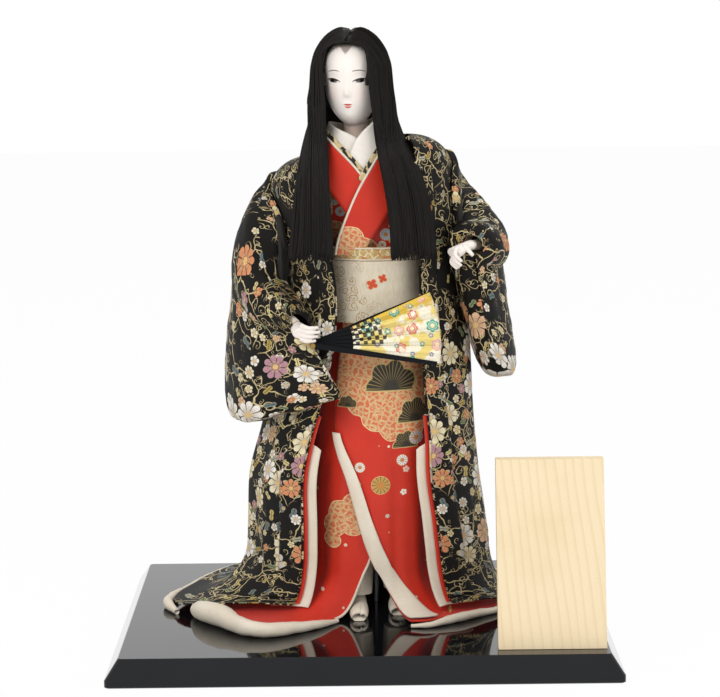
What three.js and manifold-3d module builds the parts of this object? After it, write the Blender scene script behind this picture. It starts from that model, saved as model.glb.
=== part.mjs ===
// Costumed standing doll on a lacquered plinth, with a folding fan and a wooden name plate.
// Millimetres, +Z up, front towards -Y. The origin is the middle of the plinth's underside.
import * as THREE from "three";
import { mergeVertices } from "three/addons/utils/BufferGeometryUtils.js";
import Module from "manifold-3d";

const wasm = await Module();
wasm.setup();

// Fits shared by all pieces
const GAP = 0.4; // clear gap between pieces that touch
const CLOTH = 1.2; // thickness of one layer of cloth
const FLOOR_GAP = 0.3; // gap between the plinth and what stands on it

// Plinth
const PLINTH_WIDTH = 390;
const PLINTH_DEPTH = 290;
const PLINTH_HEIGHT = 20;
const PLINTH_EDGE = 5.5; // upright rim under the bevel
const PLINTH_BEVEL = 10; // how far the bevel runs in
const PLINTH_CORNER = 3;
const PLINTH_CHAMFER = 0.8; // broken edges at the foot and round the top

// Name plate, which leans back on a wedge
const PLATE_WIDTH = 82;
const PLATE_HEIGHT = 143;
const PLATE_THICKNESS = 9;
const PLATE_LEAN = THREE.MathUtils.degToRad(14);
const PLATE_RIGHT_MARGIN = 12; // from the plinth's side to the plate
const PLATE_FRONT_MARGIN = 22; // from the plinth's front to the plate
const STRUT_WIDTH = 22;
const STRUT_HEIGHT = 62;
const STRUT_REACH = 40; // how far the wedge runs back on the plinth
const STRUT_TOE = 4; // height of the wedge's back end
const STRUT_TOP = 5; // thickness of the wedge's top

// Support rod and its nut under the plinth
const ROD_RADIUS = 2.5;
const ROD_X = 10;
const ROD_Y = 16;
const ROD_INTO_TORSO = 45;
const NUT_RADIUS = 6;
const NUT_HEIGHT = 4;
const COUNTERBORE_DEPTH = 6;
const COUNTERBORE_ROOM = 1.5; // round the nut, for a spanner

// Body: heights are above the plinth's top
const BODY_Y = 8; // the body's axis stands this far behind the origin
const HIP_HEIGHT = 186;
const TORSO_TOP = 362;
const LEG_TOP_RADIUS = 14;
const ANKLE_RADIUS = 8;
const ANKLE_HEIGHT = 15;
const RIGHT_FOOT_X = -4;
const LEFT_FOOT_X = 27;
const FOOT_LENGTH = 40;
const FOOT_WIDTH = 15;
const RIGHT_TOE_Y = -44; // the leading foot's toe
const LEFT_TOE_Y = -30;
const ARM_RADIUS = 4;
const HAND_LENGTH = 35;
const HAND_WIDTH = 15;

// Head and neck
const HEAD_X = -6;
const HEAD_Y = 3;
const HEAD_RISE = 61; // from the torso's top to the middle of the skull
const HEAD_MIDDLE = TORSO_TOP + HEAD_RISE;
const HEAD_HALF_WIDTH = 21;
const HEAD_HALF_DEPTH = 25;
const HEAD_HALF_HEIGHT = 32;
const HEAD_TURN = THREE.MathUtils.degToRad(-12); // the face looks a little to its right
const NECK_RADIUS = 10;
const PEG_RADIUS = 4;
const PEG_LENGTH = 34;

// Hair
const HAIR_THICKNESS = 8; // over the skull and behind it
const HAIR_SIDE_THICKNESS = 10;
const HAIR_END_HEIGHT = 287; // where the locks are cut
const LOCK_THICKNESS = 7;

// Clothes: kimono, sash and outer robe
const SASH_BOTTOM = 234;
const SASH_TOP = 284;
const SKIRT_TUCK = 28; // from the sash's top down to the skirt's top under it
const KIMONO_TOP = SASH_TOP - SKIRT_TUCK;
const KIMONO_FLARE = 42; // below this the skirt spreads
const SASH_BAND_HEIGHT = 11;
const SASH_THICKNESS = 2;
const KNOT_HALF_WIDTH = 22;
const KNOT_HALF_HEIGHT = 26;
const KNOT_DEPTH = 12;
const ROBE_NECK_RADIUS = 39.5;
const ROBE_NECK_HEIGHT = 371;
const ROBE_SHOULDER = 345; // height where the shoulder turns down
const SHOULDER_TILT = 8; // the left shoulder is this much higher than the middle, the right lower
const ROBE_FLARE = 55; // below this the robe spreads
const ROBE_HEM = 7.6; // height of the robe's hem where it lies on its padded roll
const ROBE_ROLL_RADIUS = 3;
const ROBE_FOLD = 3; // depth of the folds that hang in the robe
const ROBE_FOLDS = 13; // as many as would go round
const SLEEVE_SEAM_ANGLE = THREE.MathUtils.degToRad(20); // half the sleeve's seam, around the body
const SLEEVE_SEAM_HEIGHT = 33; // half the sleeve's seam, up and down
const SLEEVE_SEAM_MIDDLE = 316;
const SLEEVE_SEAM_TURN = 97; // degrees from the front round to the middle of each seam
const ARMHOLE_RADIUS = 16;
const CUFF_RADIUS = 9.5; // under-sleeve, round the arm

// Folding fan
const FAN_X = -37;
const FAN_Y = -62;
const FAN_HEIGHT = 224;
const FAN_RADIUS = 98;
const LEAF_INNER_RADIUS = 45;
const FAN_STICKS = 6;
const FAN_LOWEST = THREE.MathUtils.degToRad(-9);
const FAN_STEP = THREE.MathUtils.degToRad(6.4);
const STICK_THICKNESS = 0.6;
const STICK_WIDTH = 3.4;
const STICK_PITCH = 1.6; // distance between stick layers along the rivet
const LEAF_THICKNESS = 0.5;
const PLEAT_DEPTH = 1;
const RIVET_RADIUS = 1;
const RIVET_HEAD_RADIUS = 2;

const deg = THREE.MathUtils.degToRad;
const vec = (x, y, z) => new THREE.Vector3(x, y, z);

// Materials
const finish = (color, roughness, metalness = 0) =>
  new THREE.MeshStandardMaterial({ color, roughness, metalness });
const lacquer = finish(0x0c0d10, 0.08);
const paleWood = finish(0xe8d0a2, 0.6);
const steel = finish(0xa9adb2, 0.35, 1);
const strawBody = finish(0xb79a63, 0.9);
const gofun = finish(0xf4efe9, 0.45);
const whiteSilk = finish(0xefe9df, 0.7);
const redSilk = finish(0xd02a17, 0.6);
const sashSilk = finish(0xd9cdb4, 0.6);
const goldBrocade = finish(0xc6a052, 0.45);
const blackBrocade = finish(0x17140f, 0.6);
const blackHair = finish(0x0e0e0d, 0.45);
const fanLacquer = finish(0x14100e, 0.25);
const fanPaper = finish(0xe7d27e, 0.6);
const brass = finish(0xb08d3c, 0.35, 1);

// Smooth curve through [input, output] pairs, flat beyond both ends.
function through(pairs) {
  return (x) => {
    const last = pairs.length - 1;
    if (x <= pairs[0][0]) return pairs[0][1];
    if (x >= pairs[last][0]) return pairs[last][1];
    const k = pairs.findIndex((p) => p[0] >= x) - 1;
    const slope = (i) => {
      const a = pairs[Math.max(i - 1, 0)];
      const b = pairs[Math.min(i + 1, last)];
      return (b[1] - a[1]) / (b[0] - a[0]);
    };
    const [x0, y0] = pairs[k];
    const [x1, y1] = pairs[k + 1];
    const w = x1 - x0;
    const t = (x - x0) / w;
    const t2 = t * t;
    const t3 = t2 * t;
    return (
      y0 * (2 * t3 - 3 * t2 + 1) +
      slope(k) * w * (t3 - 2 * t2 + t) +
      y1 * (3 * t2 - 2 * t3) +
      slope(k + 1) * w * (t3 - t2)
    );
  };
}

const mix = (a, b, t) => a + (b - a) * t;
// Straight steps through a list, for rows that must lie at given places.
const stepped = (list) => (t) => {
  const place = t * (list.length - 1);
  const k = Math.min(Math.floor(place), list.length - 2);
  return mix(list[k], list[k + 1], place - k);
};
const curve = (...points) => new THREE.CatmullRomCurve3(points, false, "centripetal");

// Closed mesh from points and triangles, turned so that its faces point out.
function meshOf(points, triangles) {
  const volume = triangles.reduce((sum, [a, b, c]) => {
    return sum + points[a].dot(points[b].clone().cross(points[c]));
  }, 0);
  const facing = volume < 0 ? triangles.map(([a, b, c]) => [a, c, b]) : triangles;
  const geometry = new THREE.BufferGeometry().setFromPoints(points);
  geometry.setIndex(facing.flat());
  return geometry;
}

// Grid of points, rows long and columns wide, as pairs of triangles.
function gridFaces(at, rows, columns, wrap, reverse) {
  const faces = [];
  for (let j = 0; j < rows - 1; j++) {
    for (let i = 0; i < (wrap ? columns : columns - 1); i++) {
      const k = (i + 1) % columns;
      const quad = [at(i, j), at(k, j), at(k, j + 1), at(i, j + 1)];
      if (reverse) quad.reverse();
      faces.push([quad[0], quad[1], quad[2]], [quad[0], quad[2], quad[3]]);
    }
  }
  return faces;
}

// Sheet of cloth with a thickness. point(u, v) is its middle; a closed sheet joins up along u.
function clothSheet(point, across, along, thickness = CLOTH, closed = false) {
  const columns = closed ? across : across + 1;
  const rows = along + 1;
  const step = 1e-3;
  const clamp = (t) => Math.min(Math.max(t, 0), 1);
  const wrapU = (u) => (closed ? (u + 1) % 1 : clamp(u));
  const outer = [];
  const inner = [];
  for (let j = 0; j < rows; j++) {
    for (let i = 0; i < columns; i++) {
      const u = i / across;
      const v = j / along;
      const alongU = point(wrapU(u + step), v).sub(point(wrapU(u - step), v));
      const alongV = point(u, clamp(v + step)).sub(point(u, clamp(v - step)));
      const normal = alongU.cross(alongV).normalize();
      outer.push(point(u, v).addScaledVector(normal, thickness / 2));
      inner.push(point(u, v).addScaledVector(normal, -thickness / 2));
    }
  }
  const half = outer.length;
  const front = (i, j) => j * columns + i;
  const back = (i, j) => half + j * columns + i;
  const faces = [
    ...gridFaces(front, rows, columns, closed, false),
    ...gridFaces(back, rows, columns, closed, true),
  ];
  const rim = (j) => (i, side) => (side ? back(i, j) : front(i, j));
  faces.push(...gridFaces(rim(0), 2, columns, closed, true));
  faces.push(...gridFaces(rim(rows - 1), 2, columns, closed, false));
  if (!closed) {
    const edge = (i) => (j, side) => (side ? back(i, j) : front(i, j));
    faces.push(...gridFaces(edge(0), 2, rows, false, false));
    faces.push(...gridFaces(edge(columns - 1), 2, rows, false, true));
  }
  return meshOf([...outer, ...inner], faces);
}

// Solid through a row of closed rings, with a cap at each end.
function loft(rings) {
  const columns = rings[0].length;
  const points = rings.flat();
  const at = (i, j) => j * columns + i;
  const faces = gridFaces(at, rings.length, columns, true, false);
  for (const [ring, reverse] of [[0, true], [rings.length - 1, false]]) {
    const middle = rings[ring].reduce((m, p) => m.add(p), vec(0, 0, 0)).divideScalar(columns);
    points.push(middle);
    for (let i = 0; i < columns; i++) {
      const pair = [at(i, ring), at((i + 1) % columns, ring)];
      if (reverse) pair.reverse();
      faces.push([...pair, points.length - 1]);
    }
  }
  return meshOf(points, faces);
}

// Level ellipse of points.
function ellipse(x, y, z, halfWidth, halfDepth, count = 20) {
  return Array.from({ length: count }, (_, i) => {
    const a = (2 * Math.PI * i) / count;
    return vec(x + halfWidth * Math.sin(a), y - halfDepth * Math.cos(a), z);
  });
}

// Round bar along a path. radius(t) is its size from 0 to 1; the guide keeps its sides from twisting.
function bar(path, radius, steps, sides = 10, flatten = 1, guide = vec(0, 0, 1)) {
  const rings = [];
  for (let k = 0; k <= steps; k++) {
    const t = k / steps;
    const tangent = path.getTangent(t);
    const side = tangent.clone().cross(guide).normalize();
    const up = side.clone().cross(tangent).normalize();
    const middle = path.getPoint(t);
    rings.push(
      Array.from({ length: sides }, (_, i) => {
        const a = (2 * Math.PI * (i + 0.5)) / sides;
        return middle
          .clone()
          .addScaledVector(side, radius(t) * Math.cos(a))
          .addScaledVector(up, radius(t) * flatten * Math.sin(a));
      }),
    );
  }
  return loft(rings);
}

// Ribbon of cloth between two edge curves.
function ribbon(edgeA, edgeB, along, thickness = CLOTH, across = 2) {
  return clothSheet((u, v) => edgeA.getPoint(v).lerp(edgeB.getPoint(v), u), across, along, thickness);
}

// Boolean cuts and joins
function solidOf(geometry) {
  const bare = geometry.index ? geometry.toNonIndexed() : geometry.clone();
  bare.deleteAttribute("normal");
  bare.deleteAttribute("uv");
  const merged = mergeVertices(bare, 1e-4);
  return new wasm.Manifold(
    new wasm.Mesh({
      numProp: 3,
      vertProperties: merged.attributes.position.array,
      triVerts: new Uint32Array(merged.index.array),
    }),
  );
}
function geometryOf(solid) {
  const mesh = solid.getMesh();
  const geometry = new THREE.BufferGeometry();
  geometry.setAttribute("position", new THREE.BufferAttribute(mesh.vertProperties, 3));
  geometry.setIndex(new THREE.BufferAttribute(mesh.triVerts, 1));
  return geometry;
}
const cut = (geometry, ...tools) =>
  geometryOf(tools.reduce((solid, tool) => solid.subtract(solidOf(tool)), solidOf(geometry)));
const join = (geometry, ...others) =>
  geometryOf(others.reduce((solid, other) => solid.add(solidOf(other)), solidOf(geometry)));

function upright(radius, low, high, x, y, sides = 16) {
  const geometry = new THREE.CylinderGeometry(radius, radius, high - low, sides);
  return geometry.rotateX(Math.PI / 2).translate(x, y, (low + high) / 2);
}

const model = new THREE.Group();
const doll = new THREE.Group();
doll.position.z = PLINTH_HEIGHT;
model.add(doll);

function add(parent, name, geometry, material) {
  const mesh = new THREE.Mesh(geometry, material);
  mesh.name = name;
  parent.add(mesh);
}

// Plinth: a bevelled board, bored for the support rod
function plinthRing(inset, z) {
  const halfWidth = PLINTH_WIDTH / 2 - inset;
  const halfDepth = PLINTH_DEPTH / 2 - inset;
  const ring = [];
  for (const [sx, sy, start] of [[1, -1, -90], [1, 1, 0], [-1, 1, 90], [-1, -1, 180]]) {
    for (let k = 0; k <= 3; k++) {
      const a = deg(start + 30 * k);
      const x = sx * (halfWidth - PLINTH_CORNER) + PLINTH_CORNER * Math.cos(a);
      ring.push(vec(x, sy * (halfDepth - PLINTH_CORNER) + PLINTH_CORNER * Math.sin(a), z));
    }
  }
  return ring;
}
const plinthBlock = loft([
  plinthRing(PLINTH_CHAMFER, 0),
  plinthRing(0, PLINTH_CHAMFER),
  plinthRing(0, PLINTH_EDGE),
  plinthRing(PLINTH_BEVEL - PLINTH_CHAMFER, PLINTH_HEIGHT - PLINTH_CHAMFER),
  plinthRing(PLINTH_BEVEL, PLINTH_HEIGHT),
]);
add(
  model,
  "plinth",
  cut(
    plinthBlock,
    upright(ROD_RADIUS + GAP, -1, PLINTH_HEIGHT + 1, ROD_X, ROD_Y),
    upright(NUT_RADIUS + COUNTERBORE_ROOM, -1, COUNTERBORE_DEPTH, ROD_X, ROD_Y, 24),
  ),
  lacquer,
);
const rodBottom = COUNTERBORE_DEPTH - NUT_HEIGHT - 1;
const rodTop = PLINTH_HEIGHT + HIP_HEIGHT + ROD_INTO_TORSO;
add(model, "support_rod", upright(ROD_RADIUS, rodBottom, rodTop, ROD_X, ROD_Y), steel);
const nutTop = COUNTERBORE_DEPTH - GAP;
add(
  model,
  "support_nut",
  cut(
    upright(NUT_RADIUS, nutTop - NUT_HEIGHT, nutTop, ROD_X, ROD_Y, 6),
    upright(ROD_RADIUS + GAP, -1, nutTop + 1, ROD_X, ROD_Y),
  ),
  steel,
);

// Name plate: a bare board cut level at its foot, and the wedge that it leans on
function sideProfile(points, width) {
  const shape = new THREE.Shape(points.map(([y, z]) => new THREE.Vector2(y, z)));
  const geometry = new THREE.ExtrudeGeometry(shape, { depth: width, bevelEnabled: false });
  return geometry.rotateX(Math.PI / 2).rotateZ(Math.PI / 2);
}
const plate = new THREE.Group();
plate.position.set(
  PLINTH_WIDTH / 2 - PLATE_RIGHT_MARGIN - PLATE_WIDTH,
  -PLINTH_DEPTH / 2 + PLATE_FRONT_MARGIN,
  PLINTH_HEIGHT + FLOOR_GAP,
);
model.add(plate);
const lean = Math.tan(PLATE_LEAN);
const plateDepth = PLATE_THICKNESS / Math.cos(PLATE_LEAN);
const plateTop = PLATE_HEIGHT * Math.cos(PLATE_LEAN);
add(
  plate,
  "name_plate",
  sideProfile(
    [
      [0, 0],
      [plateDepth, 0],
      [plateDepth + plateTop * lean, plateTop],
      [plateTop * lean, plateTop],
    ],
    PLATE_WIDTH,
  ),
  paleWood,
);
const strutBack = plateDepth + GAP;
const strut = sideProfile(
  [
    [strutBack, 0],
    [strutBack + STRUT_REACH, 0],
    [strutBack + STRUT_REACH, STRUT_TOE],
    [strutBack + STRUT_HEIGHT * lean + STRUT_TOP, STRUT_HEIGHT],
    [strutBack + STRUT_HEIGHT * lean, STRUT_HEIGHT],
  ],
  STRUT_WIDTH,
);
add(plate, "plate_strut", strut.translate((PLATE_WIDTH - STRUT_WIDTH) / 2, 0, 0), paleWood);

// Body axis and layers: each layer of clothing is an ellipse round the torso
const spineX = through([[0, 4], [145, 10], [262, 12], [310, 8], [352, 0], [380, HEAD_X + 2]]);
const torsoHalfWidth = through([
  [HIP_HEIGHT, 33], [235, 33], [265, 31], [300, 34], [325, 40], [340, 36], [352, 24], [TORSO_TOP, 13],
]);
const torsoHalfDepth = through([
  [HIP_HEIGHT, 25], [235, 26], [265, 26], [300, 28], [325, 27], [340, 23], [352, 18], [TORSO_TOP, 13],
]);
function round(height, angle, halfWidth, halfDepth) {
  const radius = 1 / Math.hypot(Math.sin(angle) / halfWidth, Math.cos(angle) / halfDepth);
  return polar(height, angle, radius);
}
function polar(height, angle, radius) {
  return vec(spineX(height) + radius * Math.sin(angle), BODY_Y - radius * Math.cos(angle), height);
}
const layer = (height, angle, offset) =>
  round(height, angle, torsoHalfWidth(height) + offset, torsoHalfDepth(height) + offset);

const torsoHeights = [HIP_HEIGHT, 235, 265, 290, 312, 328, 340, 348, 356, TORSO_TOP];
const torsoBlock = (offset) =>
  loft(
    torsoHeights.map((h) =>
      ellipse(spineX(h), BODY_Y, h, torsoHalfWidth(h) + offset, torsoHalfDepth(h) + offset, 16),
    ),
  );
const neckX = spineX(TORSO_TOP);
const pegBottom = TORSO_TOP - PEG_LENGTH;
add(
  doll,
  "torso",
  cut(
    torsoBlock(0),
    upright(ROD_RADIUS + GAP, HIP_HEIGHT - 1, HIP_HEIGHT + ROD_INTO_TORSO + GAP, ROD_X, ROD_Y),
    upright(PEG_RADIUS + GAP, pegBottom - GAP, TORSO_TOP + 1, neckX, BODY_Y),
  ),
  strawBody,
);

// Legs wrapped in white, and feet in split-toed socks
function leg(footX, toeY) {
  const ankleY = toeY + FOOT_LENGTH * 0.72;
  const rings = [0, 0.12, 0.3, 0.5, 0.75, 1].map((t) => {
    const radius = mix(ANKLE_RADIUS, LEG_TOP_RADIUS, Math.sqrt(t));
    const height = mix(ANKLE_HEIGHT + 2 * GAP, HIP_HEIGHT - GAP, t);
    return ellipse(footX, mix(ankleY, BODY_Y - 2, t), height, radius, radius, 14);
  });
  return loft(rings);
}
function foot(footX, toeY) {
  const sections = [
    [0, 0.7, 6],
    [0.06, 0.9, 9],
    [0.24, 1, 11],
    [0.45, 0.96, 12],
    [0.62, 0.84, ANKLE_HEIGHT - 1],
    [0.72, 0.8, ANKLE_HEIGHT],
    [0.9, 0.8, ANKLE_HEIGHT - 2],
    [1, 0.6, 9],
  ];
  const rings = sections.map(([along, share, top]) => {
    const y = toeY + FOOT_LENGTH * along;
    return Array.from({ length: 14 }, (_, i) => {
      const a = (2 * Math.PI * i) / 14;
      const lift = Math.max(Math.sin(a), -0.75) + 0.75;
      return vec(footX + 0.5 * FOOT_WIDTH * share * Math.cos(a), y, FLOOR_GAP + (lift / 1.75) * top);
    });
  });
  return loft(rings);
}
const rodRoom = upright(ROD_RADIUS + GAP, 0, HIP_HEIGHT, ROD_X, ROD_Y);
const feet = [["right", RIGHT_FOOT_X, RIGHT_TOE_Y], ["left", LEFT_FOOT_X, LEFT_TOE_Y]];
for (const [side, x, toe] of feet) {
  add(doll, "leg_" + side, cut(leg(x, toe), rodRoom), whiteSilk);
  add(doll, "foot_" + side, foot(x, toe), whiteSilk);
}

// Arms: wrapped wire from the shoulder, round the elbow to the wrist
const armTop = 326;
const shoulderX = (side) => spineX(armTop) + side * (torsoHalfWidth(armTop) - 2);
const rightArm = curve(
  vec(shoulderX(-1), BODY_Y, armTop), vec(-66, 9, 316), vec(-80, 6, 280), vec(-71, -20, 254),
  vec(-50, -47, 238),
);
const leftArm = curve(
  vec(shoulderX(1), BODY_Y, armTop), vec(74, 10, 322), vec(89, 8, 300), vec(92, -14, 295),
  vec(85, -36, 297),
);
const arms = { right: rightArm, left: leftArm };
const armGuide = { right: vec(1, 1, 0), left: vec(0, 0, 1) };
for (const [side, path] of Object.entries(arms)) {
  const wire = bar(path, () => ARM_RADIUS, 16, 8, 1, armGuide[side]);
  add(doll, "arm_" + side, cut(wire, torsoBlock(GAP)), strawBody);
}
// A bore along the upper arm, for the layers that the arm passes through
function armhole(path, radius) {
  const upper = [0, 0.15, 0.3, 0.45].map((t) => path.getPoint(t));
  const start = upper[0].clone().addScaledVector(path.getTangent(0), -20);
  return bar(curve(start, ...upper), () => radius, 8, 16);
}

// Kimono bodice over the torso, with an armhole on each side
const bodiceOffset = GAP + CLOTH;
const bodiceHeights = [SASH_BOTTOM + 2, ...torsoHeights.slice(2, -2), 353];
const bodiceHeight = stepped(bodiceHeights);
const bodice = clothSheet(
  (u, v) => layer(bodiceHeight(v), 2 * Math.PI * u, bodiceOffset),
  20,
  bodiceHeights.length - 1,
  CLOTH,
  true,
);
add(
  doll,
  "kimono_bodice",
  cut(bodice, armhole(rightArm, ARM_RADIUS + 2), armhole(leftArm, ARM_RADIUS + 2)),
  redSilk,
);

// Under-sleeves round the arms, drawn in at the elbow
const underSleeve = through([
  [0.1, 0.9 * CUFF_RADIUS], [0.3, 0.66 * CUFF_RADIUS], [0.64, 0.66 * CUFF_RADIUS], [0.9, CUFF_RADIUS],
]);
for (const [side, path] of Object.entries(arms)) {
  const sleeve = (u, v) => {
    const t = mix(0.1, 0.9, v);
    const tangent = path.getTangent(t);
    const across = tangent.clone().cross(armGuide[side]).normalize();
    const up = across.clone().cross(tangent);
    const a = 2 * Math.PI * u;
    return path
      .getPoint(t)
      .addScaledVector(across, underSleeve(t) * Math.cos(a))
      .addScaledVector(up, underSleeve(t) * Math.sin(a));
  };
  add(doll, "kimono_sleeve_" + side, clothSheet(sleeve, 10, 14, CLOTH, true), redSilk);
}

// Collars: one strip each, round the back of the neck and crossing left over right in front
const throat = (x, y, rise) => vec(x, y, TORSO_TOP + rise);
const underCollarEdge = curve(
  throat(10, -19, -6), throat(1, -16, 14), throat(-17, -8, 24), throat(-23, 8, 28),
  throat(-4, 25, 25), throat(15, 8, 28), throat(10, -10, 24), throat(-3, -19, 14), throat(-12, -23, -10),
);
const underCollarFoot = curve(
  throat(-4, -22, -16), throat(-12, -20, 0), throat(-24, -12, 8), throat(-28, 8, 9),
  throat(-4, 30, 4), throat(20, 8, 9), throat(18, -14, 6), throat(9, -22, -4), throat(2, -24.5, -16),
);
add(doll, "under_collar", ribbon(underCollarEdge, underCollarFoot, 26, 1, 2), whiteSilk);
const kimonoCollarEdge = curve(
  vec(16, -28, SASH_TOP + 34), throat(3, -26, -17), throat(-20, -20, 4), throat(-31, 8, 14),
  throat(-4, 34, 8), throat(23, 8, 14), throat(17, -21, 2), throat(-1, -29.5, -24),
  vec(-12.5, -31.2, SASH_TOP + 28), vec(-17, -31, SASH_TOP + 16),
);
const kimonoCollarFoot = curve(
  vec(-2, -29, SASH_TOP + 22), throat(-14, -27, -36), throat(-29, -20, -17), throat(-37, 8, -5),
  throat(-4, 40, -10), throat(30, 8, -4), throat(30, -19, -22), throat(22, -28, -40),
  vec(10, -31, SASH_TOP + 19), vec(4, -28.4, SASH_TOP + SASH_BAND_HEIGHT + GAP),
);
add(doll, "kimono_collar", ribbon(kimonoCollarEdge, kimonoCollarFoot, 28, CLOTH, 2), redSilk);

// Sash, the figured band folded above it, and the knot behind
const skirtLayer = CLOTH + 3 * GAP; // from one layer of the skirt to the next
const waistOffset = bodiceOffset + CLOTH + 2 * GAP;
const sashOffset = waistOffset + skirtLayer + CLOTH / 2 + 2 * GAP + SASH_THICKNESS / 2;
const ringOf = (low, high, offset, thickness) =>
  clothSheet((u, v) => layer(mix(low, high, v), 2 * Math.PI * u, offset), 24, 2, thickness, true);
add(doll, "sash", ringOf(SASH_BOTTOM + 1, SASH_TOP, sashOffset, SASH_THICKNESS), sashSilk);
add(
  doll,
  "sash_band",
  ringOf(SASH_TOP + GAP, SASH_TOP + SASH_BAND_HEIGHT, sashOffset, SASH_THICKNESS),
  goldBrocade,
);
const knotFront = BODY_Y + torsoHalfDepth(SASH_TOP) + sashOffset;
const knotHeight = (SASH_BOTTOM + SASH_TOP) / 2;
const knotRings = [0, 0.2, 0.5, 0.8, 1].map((t) => {
  const swell = 1 - 0.5 * (2 * t - 1) ** 4;
  const ring = ellipse(0, 0, 0, KNOT_HALF_WIDTH * swell, KNOT_HALF_HEIGHT * swell, 16);
  return ring.map((p) => vec(spineX(knotHeight) + p.x, knotFront + KNOT_DEPTH * t, knotHeight + p.y));
});
const sashRoom = SASH_THICKNESS + 2 * GAP;
const knotSeats = [
  ringOf(SASH_BOTTOM + 1, SASH_TOP, sashOffset, sashRoom),
  ringOf(SASH_TOP, SASH_TOP + SASH_BAND_HEIGHT, sashOffset, sashRoom),
];
add(doll, "sash_knot", cut(loft(knotRings), ...knotSeats), sashSilk);

// Kimono skirt: two wrapped panels that part in front below the knee and spread at the hem.
// Angles run round the body from the front, positive to its left.
const waistWidth = (height) => torsoHalfWidth(height) + waistOffset;
const waistDepth = (height) => torsoHalfDepth(height) + waistOffset;
const skirtHalfWidth = through([
  [40, 49], [90, 48], [150, 46], [200, 41], ...[SASH_BOTTOM, KIMONO_TOP].map((h) => [h, waistWidth(h)]),
]);
const skirtHalfDepth = through([
  [40, 43], [90, 42], [150, 40], [200, 35], ...[SASH_BOTTOM, KIMONO_TOP].map((h) => [h, waistDepth(h)]),
]);
const skirtSpread = through([
  [-180, 92], [-120, 100], [-95, 128], [-81, 138], [-63, 124], [-45, 120], [-37, 94], [-26, 58], [0, 56],
  [31, 78], [46, 80], [65, 90], [76, 102], [95, 100], [130, 92], [180, 92],
]);
const SKIRT_COLUMNS = 20;
const SKIRT_ROWS = 12;
const SKIRT_FLARE_ROW = 8;
const skirtFold = (angle, height) => 1.6 * Math.sin(9 * angle + 0.8) * Math.max(0, 1 - height / 190);
function skirtPoint(angle, v, offset, reachOffset = offset) {
  const turn = SKIRT_FLARE_ROW / SKIRT_ROWS;
  if (v < turn) {
    const h = mix(KIMONO_TOP, KIMONO_FLARE, v / turn);
    const wide = skirtHalfWidth(h) + offset + skirtFold(angle, h);
    return round(h, angle, wide, wide - skirtHalfWidth(h) + skirtHalfDepth(h));
  }
  const a = (((v - turn) / (1 - turn)) * Math.PI) / 2;
  const top = skirtPoint(angle, turn - 1e-6, offset);
  const start = Math.hypot(top.x - spineX(KIMONO_FLARE), top.y - BODY_Y);
  const reach = skirtSpread(THREE.MathUtils.radToDeg(angle)) + reachOffset;
  const low = FLOOR_GAP + CLOTH / 2 + 1.4 + offset;
  const h = KIMONO_FLARE - (KIMONO_FLARE - low) * Math.sin(a);
  const p = polar(h, angle, start + (reach - start) * (1 - Math.cos(a)));
  return p.setX(p.x - spineX(h) + spineX(KIMONO_FLARE));
}
const innerEdge = through([[0, 30], [0.4, 26], [0.58, 8], [0.7, -8], [0.85, -20], [1, -28]]);
const outerEdge = through([
  [0, -48], [0.32, -44], [0.45, -26], [0.6, -7], [0.68, 6], [0.76, 14], [0.85, 20], [1, 24],
]);
const BACK_SEAM = 179.4; // each panel ends here, just short of the middle of the back
const underPanel = (u, v) => skirtPoint(deg(mix(innerEdge(v), -BACK_SEAM, u)), v, 0);
const overPanel = (u, v) => skirtPoint(deg(mix(outerEdge(v), BACK_SEAM, u)), v, skirtLayer);
add(doll, "kimono_right_panel", clothSheet(underPanel, SKIRT_COLUMNS, SKIRT_ROWS), redSilk);
add(doll, "kimono_left_panel", clothSheet(overPanel, SKIRT_COLUMNS, SKIRT_ROWS), redSilk);
// White facing turned out along the outer panel's front edge
const facingWidth = through([[0, 4], [0.14, 12], [0.5, 17], [0.8, 19], [1, 18]]);
const FACING_ROW = 4; // the facing starts at this row of the skirt
const FACING_REACH = 62; // mean distance of the facing from the body's axis
add(
  doll,
  "kimono_front_facing",
  clothSheet(
    (u, v) => {
      const along = mix(FACING_ROW / SKIRT_ROWS, 1, v);
      const angle = deg(outerEdge(along) - 0.6) + (facingWidth(v) * u) / FACING_REACH;
      return skirtPoint(angle, along, 2 * skirtLayer + 0.3, skirtLayer - 0.8);
    },
    2,
    SKIRT_ROWS - FACING_ROW,
  ),
  whiteSilk,
);
// Padded white hem rolls outside the skirt's edge, fattest where the train turns
function hemRoll(edge, radius, steps, outward) {
  const points = Array.from({ length: steps + 1 }, (_, k) => {
    const t = k / steps;
    const run = edge(Math.min(t + 0.01, 1)).sub(edge(Math.max(t - 0.01, 0)));
    const normal = vec(run.y, -run.x, 0).normalize().multiplyScalar(outward);
    return edge(t)
      .addScaledVector(normal, CLOTH / 2 + 2 * GAP + radius(t))
      .setZ(FLOOR_GAP + radius(t));
  });
  return bar(new THREE.CatmullRomCurve3(points), radius, steps, 7);
}
const rightHemRadius = through([[0, 1.6], [0.3, 5.2], [0.6, 6.6], [0.85, 3.6], [1, 2]]);
const rightHem = (t) => skirtPoint(deg(mix(innerEdge(1), -80, t)), 1, 0);
add(doll, "kimono_hem_roll_right", hemRoll(rightHem, rightHemRadius, 16, -1), whiteSilk);
const leftHemRadius = through([[0, 1.4], [0.5, 3.4], [1, 2.4]]);
const leftHem = (t) => skirtPoint(deg(mix(outerEdge(1), 76, t)), 1, skirtLayer);
add(doll, "kimono_hem_roll_left", hemRoll(leftHem, leftHemRadius, 10, 1), whiteSilk);

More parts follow.
